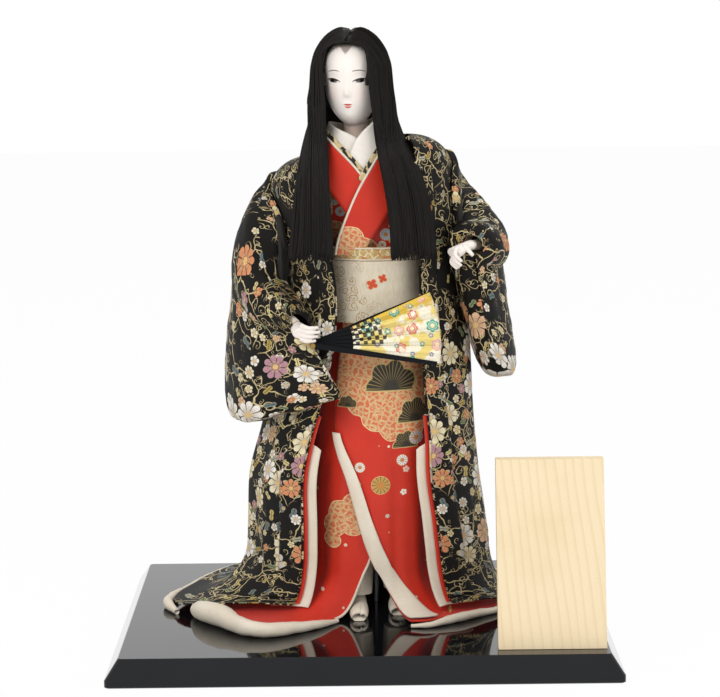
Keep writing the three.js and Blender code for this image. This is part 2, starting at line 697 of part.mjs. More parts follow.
// Outer robe, worn open: shoulders, fall and spreading train in one sheet round the back
const robeHalfWidth = through([
  [35, 98], [65, 95], [110, 91], [155, 83], [220, 74], [280, 68], [ROBE_SHOULDER, 71],
]);
const robeFront = through([[40, 62], [100, 59], [155, 56], [220, 51], [280, 47], [ROBE_SHOULDER, 43]]);
const robeBack = through([
  [40, 82], [100, 76], [155, 68], [220, 62], [262, 61], [300, 54], [ROBE_SHOULDER, 38],
]);
const robeSpread = through([
  [38, 76], [48, 84], [69, 114], [81, 156], [107, 150], [134, 148], [180, 128], [226, 128], [262, 118],
  [285, 108], [308, 82],
]);
const robeHem = through([
  [38, 15], [62, 14.5], [74, 11], [84, ROBE_HEM], [180, ROBE_HEM], [270, ROBE_HEM], [284, 11], [294, 14],
  [308, 14],
]);
// Angles here run from the right front edge round the back to the left front edge
const rightFront = through([[0, 84], [0.14, 58], [0.32, 42], [0.5, 41], [0.75, 44], [1, 48]]);
const leftFront = through([[0, 276], [0.14, 298], [0.32, 310], [0.5, 310], [0.75, 308], [1, 305]]);
const ROBE_ROWS = 14;
const ROBE_SHOULDER_ROW = 2;
const ROBE_FLARE_ROW = 10;
const fadeIn = (x, low, high) => THREE.MathUtils.smoothstep(x, low, high);
const robeFold = (degrees, height) =>
  ROBE_FOLD *
  Math.sin(deg(degrees) * ROBE_FOLDS) *
  Math.max(0, 1 - height / 300) *
  fadeIn(degrees, 62, 90) *
  (1 - fadeIn(degrees, 262, 288));
// The robe hangs a little to its right at the knee
const robeSway = through([[55, -1], [80, -3], [115, -6], [150, -4], [220, 0]]);
const shoulderLift = (angle, height) => SHOULDER_TILT * Math.sin(angle) * fadeIn(height, 180, 320);
function robeFall(degrees, height, offset) {
  const angle = deg(-degrees);
  const depth = Math.cos(angle) > 0 ? robeFront(height) : robeBack(height);
  const swell = offset + robeFold(degrees, height);
  const p = round(height, angle, robeHalfWidth(height) + swell, depth + swell);
  return p.add(vec(robeSway(height), 0, shoulderLift(angle, height)));
}
function robePoint(degrees, v, offset) {
  const shoulder = ROBE_SHOULDER_ROW / ROBE_ROWS;
  const flare = ROBE_FLARE_ROW / ROBE_ROWS;
  const angle = deg(-degrees);
  const reachAt = (h) => {
    const p = robeFall(degrees, h, offset);
    return Math.hypot(p.x - spineX(h) - robeSway(h), p.y - BODY_Y);
  };
  if (v < shoulder) {
    const a = ((v / shoulder) * Math.PI) / 2;
    const reach = ROBE_NECK_RADIUS + (reachAt(ROBE_SHOULDER) - ROBE_NECK_RADIUS) * Math.sin(a);
    const top = ROBE_NECK_HEIGHT + offset;
    const h = top - (top - ROBE_SHOULDER) * (1 - Math.cos(a));
    const p = polar(h, angle, reach);
    p.z += shoulderLift(angle, ROBE_SHOULDER);
    return p.setX(p.x - spineX(h) + spineX(ROBE_SHOULDER));
  }
  if (v < flare) {
    const height = mix(ROBE_SHOULDER, ROBE_FLARE, (v - shoulder) / (flare - shoulder));
    return robeFall(degrees, height, offset);
  }
  const a = (((v - flare) / (1 - flare)) * Math.PI) / 2;
  const start = reachAt(ROBE_FLARE);
  const reach = start + (robeSpread(degrees) - start) * (1 - Math.cos(a));
  const h = ROBE_FLARE - (ROBE_FLARE - robeHem(degrees) - offset) * Math.sin(a);
  const p = polar(h, angle, reach);
  return p.setX(p.x - spineX(h) + spineX(ROBE_FLARE) + robeSway(ROBE_FLARE));
}
const robeSheet = (u, v) => robePoint(mix(rightFront(v), leftFront(v), u), v, 0);
const armholes = [armhole(rightArm, ARMHOLE_RADIUS), armhole(leftArm, ARMHOLE_RADIUS)];
add(doll, "robe_body", cut(clothSheet(robeSheet, 32, ROBE_ROWS), ...armholes), blackBrocade);
const robeLayer = CLOTH + 2 * GAP;
// Band along a front edge, from a row of the robe down to the hem. It stands out past the edge by
// show(v), which is negative where it lies back from it.
const BAND_HEM_ROW = 13;
const BAND_REACH = 58; // mean distance of the front edges from the body's axis
function frontBand(edge, inward, firstRow, show, hidden, offset) {
  const band = (u, v) => {
    const along = mix(firstRow, BAND_HEM_ROW, v) / ROBE_ROWS;
    const turn = THREE.MathUtils.radToDeg(mix(-show(v), hidden, u) / BAND_REACH);
    return robePoint(edge(along) + inward * turn, along, offset);
  };
  return clothSheet(band, 2, BAND_HEM_ROW - firstRow);
}
const COLLAR_WIDTH = 13;
const LINING_ROW = 7; // the lining and the padding show below this row
const LINING_SHOW = 2;
const PADDING_SHOW = 8.5;
const INNER_HIDDEN = 14; // how far both run back inside the robe
const COLLAR_EASE = 0.3; // slack between the robe and its collar, lining and padding
const LINING_EASE = 0.8;
const PADDING_EASE = 2.4;
const fronts = [["right", rightFront, 1], ["left", leftFront, -1]];
for (const [side, edge, inward] of fronts) {
  const collar = frontBand(edge, inward, ROBE_SHOULDER_ROW, () => 0, COLLAR_WIDTH, robeLayer + COLLAR_EASE);
  add(doll, "robe_collar_" + side, collar, blackBrocade);
  // Red lining and white padding that show as upright bands inside the front edge
  const liningOffset = -robeLayer - LINING_EASE;
  const lining = frontBand(edge, inward, LINING_ROW, () => LINING_SHOW, INNER_HIDDEN, liningOffset);
  add(doll, "robe_lining_" + side, lining, redSilk);
  const slant = (v) => mix(-3, PADDING_SHOW, fadeIn(v, 0, 0.3));
  const paddingOffset = -2 * robeLayer - PADDING_EASE;
  const padding = frontBand(edge, inward, LINING_ROW, slant, INNER_HIDDEN, paddingOffset);
  add(doll, "robe_facing_" + side, padding, whiteSilk);
}
// Padded white roll under the train, with the red lining's edge above it
const robeRollRadius = through([[0, 1.6], [0.1, ROBE_ROLL_RADIUS], [0.9, ROBE_ROLL_RADIUS], [1, 1.6]]);
const trainEdge = (t) => robePoint(mix(84, 276, t), 1, 0);
add(doll, "robe_hem_roll", hemRoll(trainEdge, robeRollRadius, 28, -1), whiteSilk);

// Robe sleeves: bags that hang from the arms. Each loop runs round the arm and down to the sleeve's foot.
function sleeve(side, loops) {
  const seamOffset = 2.4 * robeLayer;
  const middle = side === "right" ? SLEEVE_SEAM_TURN : 360 - SLEEVE_SEAM_TURN;
  const turn = side === "right" ? 1 : -1;
  const seam = (a) => {
    const degrees = middle - turn * THREE.MathUtils.radToDeg(SLEEVE_SEAM_ANGLE) * Math.sin(a);
    const height = SLEEVE_SEAM_MIDDLE + SLEEVE_SEAM_HEIGHT * Math.cos(a);
    if (height <= ROBE_SHOULDER) return robeFall(degrees, height, seamOffset);
    const overShoulder = 1 - 0.75 * ((height - ROBE_SHOULDER) / 12);
    return robePoint(degrees, (ROBE_SHOULDER_ROW / ROBE_ROWS) * overShoulder, seamOffset);
  };
  const ringAt = ({ place, foot, inner, hang, room, lift = room, shift = 0 }) => (a) => {
    const top = arms[side].getPoint(place).add(vec(0, 0, lift)).addScaledVector(inner, -shift);
    const drop = 0.5 - 0.5 * Math.cos(a);
    const fromArm = (drop * (top.z - foot.z) - lift) / lift;
    const roundArm = room * Math.sqrt(Math.max(1 - fromArm ** 2, 0));
    const thick = Math.max(roundArm, hang * Math.sqrt(Math.abs(Math.sin(a))));
    return top.lerp(foot, drop).addScaledVector(inner, Math.sign(Math.sin(a)) * thick);
  };
  const rings = [seam, ...loops.map(ringAt)];
  return (u, v) => {
    const a = 2 * Math.PI * u;
    return curve(...rings.map((ring) => ring(a))).getPoint(v);
  };
}
const facing = (x, y) => vec(x, y, 0).normalize();
// Each loop: its place along the arm, its foot, which way its inner side faces, its half thickness where
// it hangs and round the arm, how high it stands over the arm and how far out it is shifted
const rightSleeve = sleeve("right", [
  { place: 0.34, foot: vec(-84, 10, 222), inner: facing(0.75, -1), hang: 21, room: 22, lift: 29, shift: 5 },
  { place: 0.54, foot: vec(-98, 4, 160), inner: facing(1, -0.35), hang: 17, room: 18, lift: 38 },
  { place: 0.76, foot: vec(-82, -30, 160), inner: facing(0.85, 0.6), hang: 12, room: 17 },
  { place: 0.96, foot: vec(-34, -54, 190), inner: facing(0.75, 0.65), hang: 4, room: 13 },
]);
const leftSleeve = sleeve("left", [
  { place: 0.34, foot: vec(96, 14, 232), inner: facing(-0.35, -1), hang: 15, room: 20, lift: 26, shift: 6 },
  { place: 0.54, foot: vec(110, 20, 192), inner: facing(-1, -0.6), hang: 15, room: 16, lift: 28, shift: 3 },
  { place: 0.76, foot: vec(116, -4, 188), inner: facing(-1, 0), hang: 10, room: 20 },
  { place: 0.96, foot: vec(106, -30, 204), inner: facing(-1, 0.2), hang: 4, room: 15 },
]);
add(doll, "robe_sleeve_right", clothSheet(rightSleeve, 18, 10, CLOTH, true), blackBrocade);
add(doll, "robe_sleeve_left", clothSheet(leftSleeve, 18, 10, CLOTH, true), blackBrocade);

// Hands: a palm with four fingers and a thumb, each a tapered bar joined to it
function hand(arm, reach, across, thumb) {
  const tangent = arm.getTangent(1);
  const wrist = arm.getPoint(1).addScaledVector(tangent, GAP + 0.2);
  const curl = reach.clone().cross(across).normalize();
  const palmLength = 0.5 * HAND_LENGTH;
  const place = (a, b, c) =>
    wrist.clone().addScaledVector(reach, a).addScaledVector(across, b).addScaledVector(curl, c);
  const start = wrist.clone().addScaledVector(tangent, 3);
  const palmPath = curve(wrist, start, place(0.55 * palmLength, 0, 0), place(palmLength, 0, 0.6));
  const palm = bar(palmPath, (t) => 0.5 * HAND_WIDTH * mix(0.62, 0.98, t), 5, 10, 0.62);
  const fingers = [-0.36, -0.12, 0.12, 0.36].map((b, k) => {
    const length = (0.5 - 0.05 * Math.abs(k - 1)) * HAND_LENGTH;
    const root = place(palmLength - 2, b * HAND_WIDTH, 0.4);
    const knuckle = place(palmLength + 0.22 * length, b * HAND_WIDTH, 0.3 * length);
    const tip = place(palmLength + 0.2 * length, b * HAND_WIDTH, 0.8 * length);
    return bar(curve(root, knuckle, tip), (t) => mix(2.2, 1.4, t), 3, 6);
  });
  const [back, side, reachOut] = thumb;
  const thumbRoot = place(back * palmLength, side * HAND_WIDTH, 1);
  const thumbTip = place(back * palmLength, side * HAND_WIDTH, reachOut);
  const thumbMiddle = thumbRoot.clone().lerp(thumbTip, 0.5);
  const thumbBar = bar(curve(thumbRoot, thumbMiddle, thumbTip), (t) => mix(2.4, 1.5, t), 3, 6);
  return join(palm, ...fingers, thumbBar);
}
const rightReach = vec(0.22, -0.95, -0.22).normalize();
const leftReach = vec(-0.78, -0.56, -0.28).normalize();
const acrossOf = (reach, guide) => guide.addScaledVector(reach, -guide.dot(reach)).normalize();
const rightAcross = acrossOf(rightReach, vec(0, 0, -1));
const leftAcross = acrossOf(leftReach, vec(0, 0.8, -0.6));
add(doll, "hand_right", hand(rightArm, rightReach, rightAcross, [0.35, 0.1, 14]), gofun);
add(doll, "hand_left", hand(leftArm, leftReach, leftAcross, [0.5, -0.35, 12]), gofun);

// Folding fan: sticks stacked along a rivet, with a pleated leaf in gores between them
const fan = new THREE.Group();
fan.position.set(FAN_X, FAN_Y, FAN_HEIGHT);
doll.add(fan);
const stickDepth = (k) => k * STICK_PITCH;
const fanPoint = (angle, radius, depth) => vec(radius * Math.cos(angle), depth, radius * Math.sin(angle));
function stick(k, width, length) {
  const outline = new THREE.Shape();
  outline.absarc(0, 0, 0.62 * STICK_WIDTH, Math.PI / 2, 1.5 * Math.PI, false);
  outline.lineTo(LEAF_INNER_RADIUS, -width / 2);
  outline.lineTo(length, -0.36 * width);
  outline.lineTo(length, 0.36 * width);
  outline.lineTo(LEAF_INNER_RADIUS, width / 2);
  outline.closePath();
  const hole = new THREE.Path().absarc(0, 0, RIVET_RADIUS + GAP, 0, 2 * Math.PI, true);
  outline.holes.push(hole);
  const extrusion = { depth: STICK_THICKNESS, bevelEnabled: false, curveSegments: 4 };
  const blade = new THREE.ExtrudeGeometry(outline, extrusion);
  blade.rotateX(Math.PI / 2).translate(0, STICK_THICKNESS / 2, 0);
  return blade.rotateY(-(FAN_LOWEST + k * FAN_STEP)).translate(0, stickDepth(k), 0);
}
const last = FAN_STICKS - 1;
for (let k = 0; k < FAN_STICKS; k++) {
  const guard = k === 0 || k === last;
  const name = k === 0 ? "fan_guard_front" : k === last ? "fan_guard_back" : "fan_stick_" + k;
  add(fan, name, stick(k, guard ? 1.25 * STICK_WIDTH : STICK_WIDTH, FAN_RADIUS - 2), fanLacquer);
}
// Each gore lies behind the stick below it and in front of the stick above, with a pleat between them
const goreFolds = stepped([0, 0.5, 0.75, 1]);
for (let k = 1; k < FAN_STICKS; k++) {
  const gore = (u, v) => {
    const across = goreFolds(u);
    const angle = FAN_LOWEST + (k - 1 + mix(0.02, 0.98, across)) * FAN_STEP;
    const pleat = PLEAT_DEPTH * Math.max(0, 1 - Math.abs(across - 0.75) / 0.25);
    return fanPoint(angle, mix(LEAF_INNER_RADIUS, FAN_RADIUS, v), stickDepth(k - 0.5) - pleat);
  };
  add(fan, "fan_leaf_" + k, clothSheet(gore, 3, 3, LEAF_THICKNESS), fanPaper);
}
const rivetFront = -STICK_THICKNESS / 2 - GAP;
const rivetBack = stickDepth(last) + STICK_THICKNESS / 2 + GAP;
const alongFan = (geometry) => geometry.rotateX(-Math.PI / 2);
const rivet = join(
  alongFan(upright(RIVET_RADIUS, rivetFront - 0.6, rivetBack + 0.6, 0, 0, 12)),
  alongFan(upright(RIVET_HEAD_RADIUS, rivetFront - 0.8, rivetFront, 0, 0, 12)),
  alongFan(upright(RIVET_HEAD_RADIUS, rivetBack, rivetBack + 0.8, 0, 0, 12)),
);
add(fan, "fan_rivet", rivet, brass);

// Head: an egg-shaped skull with brow, nose and chin, on a neck that stands on a peg
const head = new THREE.Group();
head.position.set(HEAD_X, HEAD_Y, HEAD_MIDDLE);
head.rotation.z = HEAD_TURN;
doll.add(head);
function headPoint(level, angle, offset) {
  const t = level / HEAD_HALF_HEIGHT;
  const egg = Math.sqrt(Math.max(1 - (t > 0 ? t ** 3 : t * t), 0));
  const jaw = t < 0 ? 1 - 0.2 * t * t : 1;
  const front = Math.max(Math.cos(angle), 0);
  const wide = HEAD_HALF_WIDTH * egg * jaw + offset;
  const deep = HEAD_HALF_DEPTH * egg + offset;
  const bridge = Math.exp(-((level + 4) ** 2) / 60) * front ** 24;
  const chin = Math.exp(-((level + 25) ** 2) / 40) * front ** 4;
  return vec(wide * Math.sin(angle), -deep * Math.cos(angle) - 2.6 * bridge - 4 * chin, level);
}
function skull(offset, rows = 12, columns = 20) {
  const rings = [];
  for (let j = 0; j <= rows; j++) {
    const level = -Math.cos(Math.PI * mix(0.04, 0.96, j / rows)) * HEAD_HALF_HEIGHT;
    const lift = (offset * level) / HEAD_HALF_HEIGHT;
    const ring = Array.from({ length: columns }, (_, i) => (2 * Math.PI * i) / columns);
    rings.push(ring.map((a) => headPoint(level, a, offset).add(vec(0, 0, lift))));
  }
  return loft(rings);
}
const neckLow = TORSO_TOP + GAP - HEAD_MIDDLE;
const neckAxis = vec(neckX - HEAD_X, BODY_Y - HEAD_Y, 0).applyAxisAngle(vec(0, 0, 1), -HEAD_TURN);
const neck = bar(
  curve(neckAxis.clone().setZ(neckLow), neckAxis.clone().setZ(neckLow + 14), vec(0, 2, -12)),
  (t) => NECK_RADIUS * mix(1.05, 0.9, t),
  4,
  16,
);
add(head, "head", join(skull(0), neck), gofun);
add(doll, "neck_peg", upright(PEG_RADIUS, pegBottom, TORSO_TOP, neckX, BODY_Y), paleWood);

// Hair: a parted cap round the face, two locks in front of the shoulders and a fall down the back
const hairWide = HEAD_HALF_WIDTH + HAIR_SIDE_THICKNESS;
const hairDeep = HEAD_HALF_DEPTH + HAIR_THICKNESS;
const hairTop = HEAD_HALF_HEIGHT + HAIR_THICKNESS;
const CAP_FOOT = -20; // level of the cap's lower edge in the head
function hairRing(level) {
  const t = Math.max(level / hairTop, 0);
  const egg = Math.sqrt(1 - t ** 2.4);
  const spread = 1 + 0.004 * Math.max(-level, 0);
  return ellipse(0, 2, level, hairWide * egg * spread, hairDeep * egg * spread);
}
const faceWindow = new THREE.Shape();
faceWindow.moveTo(0, 28);
faceWindow.bezierCurveTo(11, 31, 17.5, 29, 17, 12);
faceWindow.quadraticCurveTo(19, -14, 19, -60);
faceWindow.lineTo(-19, -60);
faceWindow.quadraticCurveTo(-19, -14, -17, 12);
faceWindow.bezierCurveTo(-17.5, 29, -11, 31, 0, 28);
const windowCut = { depth: 60, bevelEnabled: false, curveSegments: 5 };
const windowBlock = new THREE.ExtrudeGeometry(faceWindow, windowCut);
windowBlock.rotateX(Math.PI / 2).translate(0, -4, 0);
const parting = upright(2.6, -60, 60, 0, 0, 8).rotateX(Math.PI / 2).translate(0, 0, hairTop + 1);
const capLevels = [CAP_FOOT, -8, 4, 14, 22, 29, 34, 37.5, hairTop - 0.2];
const capBlock = loft(capLevels.map(hairRing));
add(head, "hair_cap", cut(capBlock, skull(GAP), windowBlock, parting), blackHair);

// Flat lock of hair down a row of [point, half width, turn] stations
function lock(stations, thickness, steps) {
  const path = curve(...stations.map((s) => s[0]));
  const halfWidth = through(stations.map((s, k) => [k / (stations.length - 1), s[1]]));
  const facingTurn = through(stations.map((s, k) => [k / (stations.length - 1), s[2]]));
  const rings = [];
  for (let k = 0; k <= steps; k++) {
    const t = k / steps;
    const across = vec(Math.cos(deg(facingTurn(t))), Math.sin(deg(facingTurn(t))), 0);
    const out = vec(across.y, -across.x, 0);
    const middle = path.getPoint(t);
    rings.push(
      Array.from({ length: 12 }, (_, i) => {
        const a = (2 * Math.PI * i) / 12;
        const side = Math.sign(Math.cos(a)) * Math.abs(Math.cos(a)) ** 0.7;
        return middle
          .clone()
          .addScaledVector(across, halfWidth(t) * side)
          .addScaledVector(out, 0.5 * thickness * Math.sin(a));
      }),
    );
  }
  return loft(rings);
}
const lockEnd = HAIR_END_HEIGHT;
const lockTop = HEAD_MIDDLE + CAP_FOOT - GAP;
const lockX = (side) => HEAD_X + side * (hairWide - LOCK_THICKNESS / 2);
add(
  doll,
  "hair_lock_right",
  lock(
    [
      [vec(lockX(-1), 0, lockTop), 17, 84],
      [throat(-34, -12, 18), 13, 116],
      [throat(-36, -34, -12), 13, 154],
      [vec(-37, -43, 315), 15, 166],
      [vec(-38, -47, lockEnd), 17, 170],
    ],
    LOCK_THICKNESS,
    10,
  ),
  blackHair,
);
add(
  doll,
  "hair_lock_left",
  lock(
    [
      [vec(lockX(1), 2, lockTop), 17, 96],
      [throat(27, -12, 18), 13, 64],
      [throat(36, -35, -12), 14, 26],
      [vec(40, -43, 315), 16, 14],
      [vec(41.5, -47, lockEnd), 17.5, 10],
    ],
    LOCK_THICKNESS,
    10,
  ),
  blackHair,
);
add(
  doll,
  "hair_back",
  lock(
    [
      [vec(HEAD_X, HEAD_Y + hairDeep - 3, lockTop), 24, 0],
      [throat(-3, 52, 12), 32, 0],
      [throat(2, 61, -17), 40, 0],
      [vec(6, 71, 310), 45, 0],
      [vec(8, 78, lockEnd), 47, 0],
    ],
    LOCK_THICKNESS + 2,
    10,
  ),
  blackHair,
);

export default model;
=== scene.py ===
"""Looks of a costumed standing doll on a lacquered plinth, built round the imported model."""

import math
import random

import bpy
import numpy as np
from mathutils import Matrix, Vector, noise


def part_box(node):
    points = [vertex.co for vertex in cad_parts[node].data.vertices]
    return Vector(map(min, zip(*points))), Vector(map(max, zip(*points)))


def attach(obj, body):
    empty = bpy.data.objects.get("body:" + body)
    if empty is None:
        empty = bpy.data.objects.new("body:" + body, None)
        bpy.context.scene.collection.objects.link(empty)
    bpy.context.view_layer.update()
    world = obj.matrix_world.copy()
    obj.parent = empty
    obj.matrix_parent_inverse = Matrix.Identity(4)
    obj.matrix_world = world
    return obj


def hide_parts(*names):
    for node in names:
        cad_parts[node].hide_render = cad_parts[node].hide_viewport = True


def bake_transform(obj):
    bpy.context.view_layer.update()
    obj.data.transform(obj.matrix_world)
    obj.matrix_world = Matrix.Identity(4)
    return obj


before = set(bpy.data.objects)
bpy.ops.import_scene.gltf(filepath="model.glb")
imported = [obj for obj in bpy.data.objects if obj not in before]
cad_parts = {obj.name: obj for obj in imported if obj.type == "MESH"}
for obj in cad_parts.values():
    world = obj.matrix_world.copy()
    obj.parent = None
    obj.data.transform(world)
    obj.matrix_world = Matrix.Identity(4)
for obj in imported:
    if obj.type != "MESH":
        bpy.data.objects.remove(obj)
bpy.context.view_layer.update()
random.seed(7)

# Measures in millimetres; heights of the doll are above the plinth's top
MM = 0.001
PLINTH_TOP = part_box("plinth")[1].z
GAP, CLOTH, FLOOR_GAP = 0.4, 1.2, 0.3
BODY_Y, HIP_HEIGHT, TORSO_TOP = 8, 186, 362
HEAD_PLACE, HEAD_HALF = (-6, 3, 423), (21, 25, 32)
HEAD_TURN = math.radians(-9)
FACE_LEAN, CHIN = 0.045, 36
FAN_PLACE = Vector((-37, -62, 224))
SIDES = ("right", "left")
TURN = 2 * math.pi


# Curves
def through(*pairs):
    """Smooth curve through (input, output) pairs, flat beyond both ends."""
    last = len(pairs) - 1

    def slope(i):
        a, b = pairs[max(i - 1, 0)], pairs[min(i + 1, last)]
        return (b[1] - a[1]) / (b[0] - a[0])

    def at(x):
        if x <= pairs[0][0]:
            return pairs[0][1]
        if x >= pairs[last][0]:
            return pairs[last][1]
        k = next(i for i, p in enumerate(pairs) if p[0] >= x) - 1
        (x0, y0), (x1, y1) = pairs[k], pairs[k + 1]
        w = x1 - x0
        t = (x - x0) / w
        return (
            y0 * (2 * t**3 - 3 * t**2 + 1)
            + slope(k) * w * (t**3 - 2 * t**2 + t)
            + y1 * (3 * t**2 - 2 * t**3)
            + slope(k + 1) * w * (t**3 - t**2)
        )

    return at


def mix(a, b, t):
    return a + (b - a) * t


def smooth(x, low, high):
    t = min(max((x - low) / (high - low), 0), 1)
    return t * t * (3 - 2 * t)


def bell(x, middle, width):
    return math.exp(-(((x - middle) / width) ** 2))


def curve(*points):
    """Centripetal curve through points, as a function of 0 to 1."""
    pts = [Vector(p) for p in points]
    n = len(pts)

    def at(t):
        place = (n - 1) * min(max(t, 0), 1)
        k = min(int(place), n - 2)
        w = place - k
        p1, p2 = pts[k], pts[k + 1]
        p0 = pts[k - 1] if k else 2 * p1 - p2
        p3 = pts[k + 2] if k + 2 < n else 2 * p2 - p1
        d0, d1, d2 = ((b - a).length_squared ** 0.25 for a, b in ((p0, p1), (p1, p2), (p2, p3)))
        d1 = max(d1, 1e-4)
        d0 = d0 if d0 > 1e-4 else d1
        d2 = d2 if d2 > 1e-4 else d1
        m1 = ((p1 - p0) / d0 - (p2 - p0) / (d0 + d1) + (p2 - p1) / d1) * d1
        m2 = ((p2 - p1) / d1 - (p3 - p1) / (d1 + d2) + (p3 - p2) / d2) * d1
        return p1 + m1 * w + (3 * (p2 - p1) - 2 * m1 - m2) * w**2 + (2 * (p1 - p2) + m1 + m2) * w**3

    return at


def tangent(path, t):
    return (path(min(t + 1e-4, 1)) - path(max(t - 1e-4, 0))).normalized()


# Meshes
def link(name, mesh, materials, body=None):
    for m in materials:
        mesh.materials.append(m)
    mesh.shade_smooth()
    piece = bpy.data.objects.new(name, mesh)
    bpy.context.scene.collection.objects.link(piece)
    if body:
        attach(piece, body)
    return piece


def raised(points):
    """Millimetres above the plinth's top as metres in the frame."""
    p = np.asarray(points, float).reshape(-1, 3) * MM
    p[:, 2] += PLINTH_TOP
    return p


def new_mesh(name, points, faces):
    mesh = bpy.data.meshes.new(name)
    mesh.from_pydata(list(map(tuple, raised(points))), [], faces)
    return mesh


def add_map(mesh, title, values):
    """Adds a map of one pair of values for each corner of each face."""
    mesh.uv_layers.new(name=title).data.foreach_set("uv", values.astype(np.float32).ravel())


def corner_points(mesh):
    """Index of the point at each corner of each face."""
    corners = np.zeros(len(mesh.loops), np.int32)
    mesh.loops.foreach_get("vertex_index", corners)
    return corners


def quads(rows, columns, wrap=False):
    """Corner indices of a grid's faces, and the same without wrapping, for its maps."""
    i, j = np.meshgrid(np.arange(columns if wrap else columns - 1), np.arange(rows - 1))
    i, j = i.ravel(), j.ravel()
    corner = lambda a, b: (j + b) * columns + (i + a) % columns
    flat = lambda a, b: (j + b) * (columns + 1 if wrap else columns) + i + a
    order = ((0, 0), (1, 0), (1, 1), (0, 1))
    return np.stack([corner(*o) for o in order], 1), np.stack([flat(*o) for o in order], 1)


def caps(start, rows, columns):
    """Faces that close the first and the last ring of a tube."""
    ring = list(range(start, start + columns))
    return [ring[::-1], [i + (rows - 1) * columns for i in ring]]


def looped(grid, wrap):
    """Grid with its first column again behind the last one, if it goes round."""
    return np.concatenate([grid, grid[:, :1]], 1) if wrap else grid


def lengths(points, axis):
    step = np.linalg.norm(np.diff(points, axis=axis), axis=2)
    pad = [(0, 0), (0, 0)]
    pad[axis] = (1, 0)
    return np.pad(np.cumsum(step, axis), pad)


def nearest_on(line):
    """For each of some points, the nearest point of a line."""
    return lambda p: line[((p[:, None] - line[None]) ** 2).sum(2).argmin(1)]


def grid_mesh(name, grid, wrap, inside, closed=False):
    """Mesh of rows by columns of points that faces away from inside, with its cloth and front maps in millimetres."""
    rows, columns = grid.shape[:2]
    faces, flat = quads(rows, columns, wrap)
    full = looped(grid, wrap)
    across, along = lengths(full, 1).mean(0), lengths(full, 0).mean(1)
    cloth = np.stack(np.meshgrid(across - across[-1] / 2, along), -1).reshape(-1, 2)
    front = full[..., [0, 2]].reshape(-1, 2)
    a, b, d = (grid.reshape(-1, 3)[faces[:, k]] for k in (0, 1, 3))
    away = a - np.array(inside(a) if callable(inside) else inside)
    if (np.cross(b - a, d - a) * away).sum() < 0:
        faces, flat = faces[:, ::-1], flat[:, ::-1]
    mesh = new_mesh(name, grid, faces.tolist() + (caps(0, rows, columns) if closed else []))
    for title, values in (("cloth", cloth), ("front", front)):
        data = np.zeros((len(mesh.loops), 2))
        data[: flat.size] = values[flat.ravel()]
        add_map(mesh, title, data)
    mesh.validate()
    return mesh


def sample(point, across, along, wrap=False):
    columns = across if wrap else across + 1
    return np.array([[point(i / across, j / along) for i in range(columns)] for j in range(along + 1)])


def wrinkled(grid, depth, size, seed, stretch=(1, 1, 1)):
    """Grid that goes round, moved along its normals by smooth noise, for creases in cloth."""
    rough = np.array([
        [noise.fractal(Vector(p * np.array(stretch) / size) + Vector((seed, 0, 0)), 1.0, 2.0, 2) for p in row]
        for row in grid
    ])
    normal = np.cross(np.roll(grid, -1, 1) - np.roll(grid, 1, 1), np.gradient(grid, axis=0))
    normal = normal / np.maximum(np.linalg.norm(normal, axis=2, keepdims=True), 1e-9)
    return grid + normal * (depth * rough)[..., None]


def thicken(piece, thickness, inner=0, offset=0):
    solid = piece.modifiers.new("thickness", "SOLIDIFY")
    solid.thickness = thickness * MM
    solid.offset = offset
    solid.material_offset = inner


def sheet_size(grid, wrap):
    """Flat width and length in metres, and the area."""
    full = looped(grid, wrap)
    width, length = lengths(full, 1)[:, -1].max() * MM, lengths(full, 0)[-1].max() * MM
    p, q, r, s = full[:-1, :-1], full[:-1, 1:], full[1:, :-1], full[1:, 1:]
    halves = (np.linalg.norm(np.cross(a, b), axis=2) for a, b in ((r - p, q - p), (q - s, r - s)))
    return (round(width, 3), round(length, 3)), float(sum(halves).sum() / 2 * MM * MM)


BODY_AXIS_X, LEAST_AREA = 6, 0.3


def sheet_piece(name, grid, materials, slot, thickness=CLOTH, wrap=False, replaces=(), axis=None):
    """Sheet of cloth from a grid of points."""
    axis = axis or (lambda p: np.stack([p[:, 0] * 0 + BODY_AXIS_X, p[:, 1] * 0 + BODY_Y, p[:, 2]], 1))
    piece = link(name, grid_mesh(name, grid, wrap, axis), materials, "stand")
    thicken(piece, thickness, 1 if len(materials) > 1 else 0)
    flat, area = sheet_size(grid, wrap)
    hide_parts(*(replaces or (name,)))


def closed_piece(name, grid, inside, material, body="stand", replaces=None):
    """Piece with a skin of rings, closed at both ends. It takes the place of the node of its name by default."""
    piece = link(name, grid_mesh(name, grid, True, inside, True), [material], body)
    replaces = (name,) if replaces is None else replaces
    if replaces:
        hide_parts(*replaces)
    return piece


def tube_grid(path, radius, steps, sides, flatten=1.0):
    rings = []
    for t in (k / steps for k in range(steps + 1)):
        along, middle, r = tangent(path, t), path(t), radius(t)
        side = along.cross(Vector((0, 0, 1))).normalized()
        up = side.cross(along).normalized()
        angles = (TURN * (i + 0.5) / sides for i in range(sides))
        rings.append([middle + side * (r * math.cos(a)) + up * (r * flatten * math.sin(a)) for a in angles])
    return np.array(rings)


def evaluated(piece):
    """Puts a piece's modifiers into its mesh."""
    bpy.context.view_layer.update()
    made = bpy.data.meshes.new_from_object(piece.evaluated_get(bpy.context.evaluated_depsgraph_get()))
    piece.modifiers.clear()
    piece.data = made


